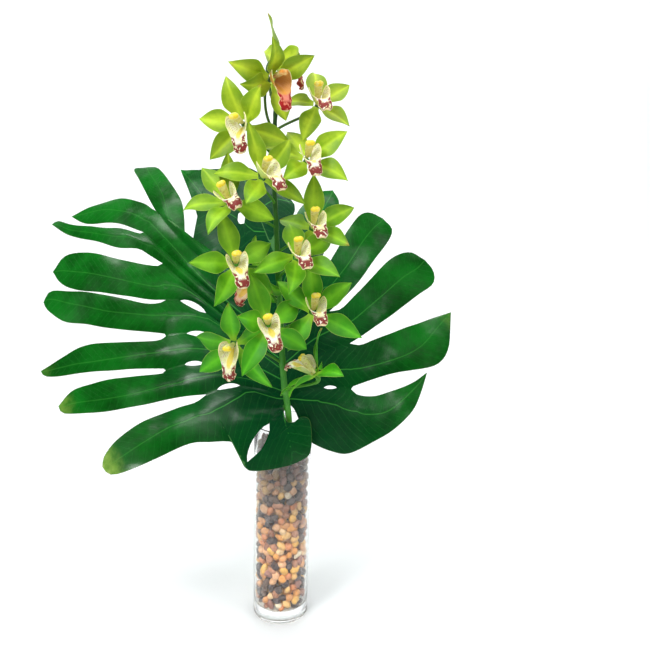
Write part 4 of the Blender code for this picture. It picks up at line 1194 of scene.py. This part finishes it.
# %% The ovary and the flower's own stalk
def pedicel_path(number, flower, count):
    """The flower stalk's line in the flower's frame, from the back of the flower to the side of the stem."""
    _, turn = PEDICEL_SHIFTS.get(number, (0, 0))
    centre = flower.translation
    behind = flower.to_3x3() @ Vector((0, 0, -1))
    spot, radius = stem_spot(joint_height(number, centre))
    away = centre - spot
    away.z = 0
    away = Matrix.Rotation(-math.radians(turn), 3, "Z") @ away.normalized()
    start, end = centre + behind, spot + away * (radius * 0.4)
    a, b = start + behind * 20, spot + away * (radius + 12) + Vector((0, 0, 12))
    inverse = flower.inverted()
    path = []
    for t in evenly(count):
        path.append(inverse @ (start * (1 - t) ** 3 + a * 3 * t * (1 - t) ** 2 + b * 3 * t * t * (1 - t)
                               + end * t ** 3))
    return path


def tube_points(path, radii, sides, across):
    """Rings of points round a path, carried along it without twisting."""
    rings = []
    for i, point in enumerate(path):
        ahead_here = (path[min(i + 1, len(path) - 1)] - path[max(i - 1, 0)]).normalized()
        across = (across - ahead_here * across.dot(ahead_here)).normalized()
        other = ahead_here.cross(across)
        for k in range(sides):
            turn = 2 * math.pi * k / sides
            rings.append(point + (across * math.cos(turn) + other * math.sin(turn)) * radii[i])
    return rings


print("flower 1's stalk joins the stem at", joint_height(1, FLOWERS[0][0]), "mm")


# %% Join closed skins into one piece
class Skins:
    """Gathers closed skins of one piece, with the values on their points."""

    def __init__(self, labels):
        self.points, self.faces, self.values = [], [], {label: [] for label in labels}

    def add(self, points, columns, **values):
        first, rows = len(self.points), len(points) // columns
        self.points += points
        self.faces += grid_faces(rows, columns, first, closed=True)
        self.faces.append(tuple(range(first, first + columns)))
        self.faces.append(tuple(range(first + (rows - 1) * columns, first + rows * columns)))
        for label, numbers in self.values.items():
            given_value = values.get(label, 0.0)
            numbers += given_value if isinstance(given_value, list) else [given_value] * len(points)

    def mesh(self, name, matrix, sharp=50):
        made = mesh_from(name, [matrix @ p for p in self.points], self.faces, self.values, sharp)
        work = bmesh.new()
        work.from_mesh(made)
        bmesh.ops.recalc_face_normals(work, faces=work.faces)
        work.to_mesh(made)
        work.free()
        return made


print("a piece can carry", list(Skins(["along", "across"]).values))

# %% [markdown]
# ## Sepal and petal finish
# Fresh lime green with fine lengthwise veins and a pale rim. A lighter band along the middle is a painted
# highlight on the ridge of the fold, and the sides are darkened with painted shade. The youngest flowers at the
# top are yellower and the lowest ones greener, so the colour also follows the height. A few tips have gone
# brown. The flower's own stalk is darker green.

# %% Sepal and petal finish
tepal_finish, tree, shader = new_finish("tepal_green", Roughness=0.42, Specular_IOR_Level=0.2,
                                        Subsurface_Weight=0.1, Subsurface_Radius=(0.002, 0.003, 0.0008))
along, across, tone, stalky = attributes(tree, "along", "across", "tone", "stalky")
place, height = place_and_height(tree)
young = ramp(tree, height, 0.42, 0.74)
fresh = tint(tree, young, (0.035, 0.32, 0.004), (0.24, 0.42, 0.010))
light = tint(tree, young, (0.13, 0.55, 0.014), (0.62, 0.78, 0.04))
base = use_group(tree, patches, {"Color": fresh, "Second": light, "Scale": 38.0, "Amount": 0.9})
olive = tint(tree, young, (0.05, 0.24, 0.006), (0.24, 0.28, 0.015))
body = tint(tree, times(tree, tone, 0.8), base.outputs["Color"], olive)
ruled = use_group(tree, veins, {"Across": across, "Count": 7.0})
body = tint(tree, times(tree, ruled.outputs["Mask"], 0.16), body, (0.05, 0.20, 0.008))
off_middle = calc(tree, "ABSOLUTE", across)
# Painted highlight: a lighter band along the middle of each sepal and petal, on the ridge of its fold.
body = tint(tree, ramp(tree, off_middle, 0.0, 0.3, 0.55, 0.0), body, light)
body = tint(tree, ramp(tree, along, 0.0, 0.3, 0.55, 0.0), body, (0.45, 0.66, 0.05))
# Painted shade: the sides of each sepal and petal are darkened towards a deeper green.
sides = times(tree, ramp(tree, off_middle, 0.25, 0.8), ramp(tree, along, 0.1, 0.45), 0.62)
body = tint(tree, sides, body, tint(tree, young, (0.02, 0.20, 0.003), (0.16, 0.30, 0.008)))
body = tint(tree, ramp(tree, off_middle, 0.93, 1.0, 0.0, 0.4), body, (0.58, 0.70, 0.12))
blush = use_group(tree, flecks, {"Scale": 70.0, "Cover": 0.32})
tipped = times(tree, ramp(tree, along, 0.84, 1.0), blush.outputs["Mask"], 0.6)
body = tint(tree, tipped, body, (0.42, 0.22, 0.06))
stem_green = tint(tree, ramp(tree, height, 0.62, 0.72), (0.05, 0.22, 0.02), (0.012, 0.05, 0.012))
body = tint(tree, times(tree, stalky, 0.92), body, stem_green)
feed(tree, shader, Base_Color=body, Roughness=ramp(tree, base.outputs["Height"], 0.3, 0.7, 0.36, 0.52))
feed_relief(tree, shader, ruled.outputs["Mask"], 0.25, 0.0004)
print("finish", tepal_finish.name)

# %% [markdown]
# ## The lip
# The third petal of an orchid is its lip: a channel whose two side lobes stand up round the column like the
# halves of an egg, and a middle lobe that turns down in front, with a wavy margin. It is skinned from arcs:
# each key section says where the bottom lies, how wide and deep the arc is and how far it wraps round, and
# between the keys these numbers are smoothed. That gives full cheeks that a flat sheet would not.

# %% Lip shape
# height of the channel's bottom, forward, half width, depth, wrap in radians, how far the sides fold back
LIP_KEYS = [(-3.4, 2.9, 3.0, 3.5, 1.20, 0.0), (-6.0, 8.0, 6.5, 11.0, 1.75, 0.0),
            (-9.5, 15.0, 9.5, 16.0, 1.85, 0.0), (-12.5, 22.0, 12.0, 19.0, 1.80, 0.0),
            (-14.5, 27.0, 13.0, 17.5, 1.55, 1.0),
            (-16.5, 31.5, 10.0, 8.0, 1.30, 2.2), (-21.0, 35.0, 8.2, 2.0, 1.15, 3.0),
            (-27.5, 37.0, 8.6, -1.0, 1.00, 4.5), (-32.5, 37.2, 6.4, -1.0, 0.90, 4.0),
            (-35.6, 36.2, 1.6, -0.2, 0.70, 2.0)]
LIP_STEPS, LIP_COLUMNS = 44, 24
LOBE_START, LOBE_END, LIP_HALF_THICKNESS = -16.0, -35.4, 0.4


def lip_rings():
    """Rings round the lip, with how far across, how far down its front lobe, and whether on the back."""
    keys = smooth_curve(LIP_KEYS, evenly(LIP_STEPS))
    rows, fronts = [], []
    for k, (bottom, forward, half, depth, wrap, fold) in enumerate(keys):
        a = k / LIP_STEPS
        fronts.append(min(1.0, max(0.0, (LOBE_START - bottom) / (LOBE_START - LOBE_END))))
        row = []
        for j in range(LIP_COLUMNS + 1):
            b = 2 * j / LIP_COLUMNS - 1
            frill = (0.5 + 1.3 * ease(fronts[-1] * 4)) * b * b * abs(b) * math.sin(48 * a + 2.6 * b)
            keel = 1.5 * math.exp(-((abs(b) - 0.12) / 0.05) ** 2) * ease((0.72 - a) / 0.1) * ease(a / 0.2)
            turn = wrap * b
            x = half * math.sin(turn) / math.sin(min(wrap, math.pi / 2))
            row.append(Vector((x, bottom + depth * (1 - math.cos(turn)) + keel,
                               forward - fold * b * b + frill)))
        rows.append(row)
    points, across, front, outer = [], [], [], []
    for k, row in enumerate(rows):
        inside, outside = [], []
        for j, spot in enumerate(row):
            ahead_here = rows[min(k + 1, LIP_STEPS)][j] - rows[max(k - 1, 0)][j]
            sideways = row[min(j + 1, LIP_COLUMNS)] - row[max(j - 1, 0)]
            normal = sideways.cross(ahead_here).normalized() * LIP_HALF_THICKNESS
            b = 2 * j / LIP_COLUMNS - 1
            inside.append((spot - normal, b, 0.0))
            outside.append((spot + normal, b, 1.0))
        for spot, b, side in inside + outside[::-1]:
            points.append(spot)
            across.append(b)
            front.append(fronts[k])
            outer.append(side)
    return points, across, front, outer


lip_points, lip_across, lip_front, lip_outer = lip_rings()
print("a lip has", len(lip_points), "points")

# %% Lip finish
lip_finish, tree, shader = new_finish("lip_cream", Roughness=0.4, Specular_IOR_Level=0.2,
                                      Subsurface_Weight=0.2, Subsurface_Radius=(0.002, 0.002, 0.001))
across, front, outer, age = attributes(tree, "across", "front", "outer", "age")
b = calc(tree, "ABSOLUTE", across)
lobe = ramp(tree, front, 0.0, 0.12)
inside = use_group(tree, patches, {"Color": (0.82, 0.86, 0.40), "Second": (0.98, 0.97, 0.88), "Scale": 110.0,
                                   "Amount": 0.9})
dots = use_group(tree, flecks, {"Scale": 420.0, "Cover": 0.62})
ruled = use_group(tree, veins, {"Across": across, "Count": 11.0})
streaks = times(tree, ruled.outputs["Mask"], dots.outputs["Mask"], 0.85)
body = tint(tree, streaks, inside.outputs["Color"], (0.36, 0.03, 0.02))
yellow = times(tree, ramp(tree, b, 0.14, 0.24, 1.0, 0.0), ramp(tree, front, 0.0, 0.2, 0.85, 0.0))
body = tint(tree, yellow, body, (0.82, 0.66, 0.06))
reach = calc(tree, "MAXIMUM", b, front)
patch = use_group(tree, flecks, {"Scale": 330.0, "Cover": 0.8})
band = times(tree, lobe, ramp(tree, reach, 0.30, 0.54), patch.outputs["Mask"])
body = tint(tree, times(tree, band, 0.97), body, (0.20, 0.004, 0.005))
margin = calc(tree, "MAXIMUM", times(tree, ramp(tree, reach, 0.88, 0.95), lobe), ramp(tree, b, 0.93, 0.99))
body = tint(tree, margin, body, (0.86, 0.70, 0.40))
cheek = use_group(tree, patches, {"Color": (0.66, 0.78, 0.14), "Second": (0.94, 0.92, 0.50), "Scale": 60.0,
                                  "Amount": 0.9})
blush = tint(tree, ramp(tree, b, 0.1, 0.6, 0.55, 0.0), cheek.outputs["Color"], (0.86, 0.55, 0.10))
body = tint(tree, outer, body, tint(tree, lobe, blush, (0.52, 0.12, 0.12)))
aged = tint(tree, lobe, (0.66, 0.27, 0.05), (0.72, 0.16, 0.10))
aged = tint(tree, band, aged, (0.40, 0.01, 0.01))
body = tint(tree, times(tree, calc(tree, "SUBTRACT", 1.0, margin), age, 0.9), body, aged)
feed(tree, shader, Base_Color=body, Roughness=ramp(tree, inside.outputs["Height"], 0.3, 0.7, 0.34, 0.5))
feed_relief(tree, shader, ruled.outputs["Mask"], 0.3, 0.0004)
print("finish", lip_finish.name)

# %% [markdown]
# ## The column
# Over the lip arches the column, a small club that ends in the yellow anther cap. Its underside is hollowed
# and speckled. One tube with changing radius makes the club, and a second, blunt skin makes the cap.

# %% Column shape
COLUMN_KEYS = [(1.6, 3.2, 2.4), (3.0, 9, 3.0), (5.0, 16, 3.8), (7.4, 23, 4.4), (8.6, 27.5, 4.6), (8.0, 30, 3.8)]
COLUMN_WIDEN = 1.25
CAP_SPOT, CAP_HALVES = Vector((0, 8.8, 29.5)), (6.2, 3.9, 4.0)
COLUMN_STEPS = COLUMN_SIDES = 16


def column_skins(age):
    skins = Skins(["cap", "age"])
    keys = smooth_curve(COLUMN_KEYS, evenly(COLUMN_STEPS))
    path, radii = [Vector((0, y, z)) for y, z, _ in keys], [r for _, _, r in keys]
    rings = tube_points(path, radii, COLUMN_SIDES, Vector((1, 0, 0)))
    for n, spot in enumerate(rings):
        middle = path[n // COLUMN_SIDES]
        spot.x *= COLUMN_WIDEN
        if spot.y < middle.y:
            spot.y = middle.y + (spot.y - middle.y) * 0.55
    skins.add(rings, COLUMN_SIDES, age=age)
    cap_rings, steps, sides = [], 12, 24
    for k in range(steps + 1):
        polar = math.pi * (0.03 + 0.94 * k / steps)
        for n in range(sides):
            turn = 2 * math.pi * n / sides
            spot = Vector((math.cos(polar), math.sin(polar) * math.cos(turn), math.sin(polar) * math.sin(turn)))
            notch = 1 - 0.24 * math.exp(-(spot.x / 0.2) ** 2)
            cap_rings.append(CAP_SPOT + Vector((CAP_HALVES[0] * spot.x, CAP_HALVES[1] * spot.y * notch,
                                                CAP_HALVES[2] * spot.z * notch)))
    skins.add(cap_rings, sides, cap=1.0, age=age)
    return skins


print("column and cap:", len(column_skins(0.0).faces), "faces")

# %% Column finish
column_finish, tree, shader = new_finish("column_yellow", Roughness=0.4, Specular_IOR_Level=0.3)
cap, age = attributes(tree, "cap", "age")
club = use_group(tree, patches, {"Color": (0.62, 0.62, 0.16), "Second": (0.80, 0.76, 0.40), "Scale": 150.0,
                                 "Amount": 0.8})
specks = use_group(tree, flecks, {"Scale": 500.0, "Cover": 0.25})
body = tint(tree, times(tree, specks.outputs["Mask"], 0.5), club.outputs["Color"], (0.35, 0.12, 0.04))
body = tint(tree, cap, body, tint(tree, age, (0.90, 0.70, 0.04), (0.72, 0.26, 0.03)))
shine = times(tree, cap, ramp(tree, club.outputs["Height"], 0.45, 0.7, 0.0, 0.5))
feed(tree, shader, Base_Color=tint(tree, shine, body, (0.95, 0.86, 0.40)),
     Roughness=ramp(tree, club.outputs["Height"], 0.3, 0.7, 0.3, 0.46))
feed_relief(tree, shader, club.outputs["Height"], 0.25, 0.0005)
print("finish", column_finish.name)

# %% [markdown]
# ## Put the flowers together
# For each row of the table the five sepals and petals, the ovary and the stalk become one piece, and the lip
# and the column one piece each. A seeded random habit gives every petal its own twist, curl and wave. Older
# flowers have an amber lip.

# %% Make the flowers
LIP_AGES = {1: 0.7, 2: 1.0, 3: 0.12, 11: 0.6}
HABIT_SPANS = {"twist": (-0.35, 0.35), "curl": (-2.2, 1.2), "wave": (0.6, 1.7), "phase": (0, 6.28),
               "fold": (0.8, 2.2), "width": (0.98, 1.12)}
PEDICEL_STEPS, PEDICEL_SIDES = 20, 12
habits = np.random.default_rng(21)
ring = 2 * (TEPAL_COLUMNS + 1)
face_count = 0
for number, (place, pose, tepals) in enumerate(FLOWERS, 1):
    flower = flower_frame(place, pose)
    skins = Skins(["along", "across", "tone", "stalky"])
    for index, tepal in enumerate(tepals):
        habit = {label: habits.uniform(*span) for label, span in HABIT_SPANS.items()}
        points, along_values, across_values = tepal_rings(index, tepal, habit)
        skins.add(points, ring, along=along_values, across=across_values, tone=habits.uniform(0, 0.6))
    path = pedicel_path(number, flower, PEDICEL_STEPS)
    radii = [OVARY_RADIUS + (PEDICEL_RADIUS - OVARY_RADIUS) * ease((k - 3) / 7)
             for k in range(PEDICEL_STEPS + 1)]
    radii[:3] = [OVARY_RADIUS * 1.15] * 3
    skins.add(tube_points(path, radii, PEDICEL_SIDES, Vector((0, 1, 0))), PEDICEL_SIDES, stalky=1.0)
    name = f"flower_{number:02d}"
    age = LIP_AGES.get(number, 0.0)
    lip = Skins(["across", "front", "outer", "age"])
    lip.add([p * FLOWER_SIZE for p in lip_points], 2 * (LIP_COLUMNS + 1), across=lip_across, front=lip_front,
            outer=lip_outer, age=age)
    shrunk = flower @ Matrix.Scale(FLOWER_SIZE, 4)
    for part, matrix, sharp, label, finish, node, slot in (
            (skins, flower, 50, "_sepals_and_petals", tepal_finish, "_tepals", "tepal_green"),
            (lip, flower, 70, "_lip_petal", lip_finish, "_lip", "lip_cream"),
            (column_skins(age), shrunk, 50, "_column_and_cap", column_finish, "_column", "column_yellow")):
        mesh = part.mesh(name + label, matrix, sharp)
        add_piece(name + label, mesh, finish, name + node)
        face_count += len(mesh.polygons)
print(len(FLOWERS), "flowers,", face_count, "faces")
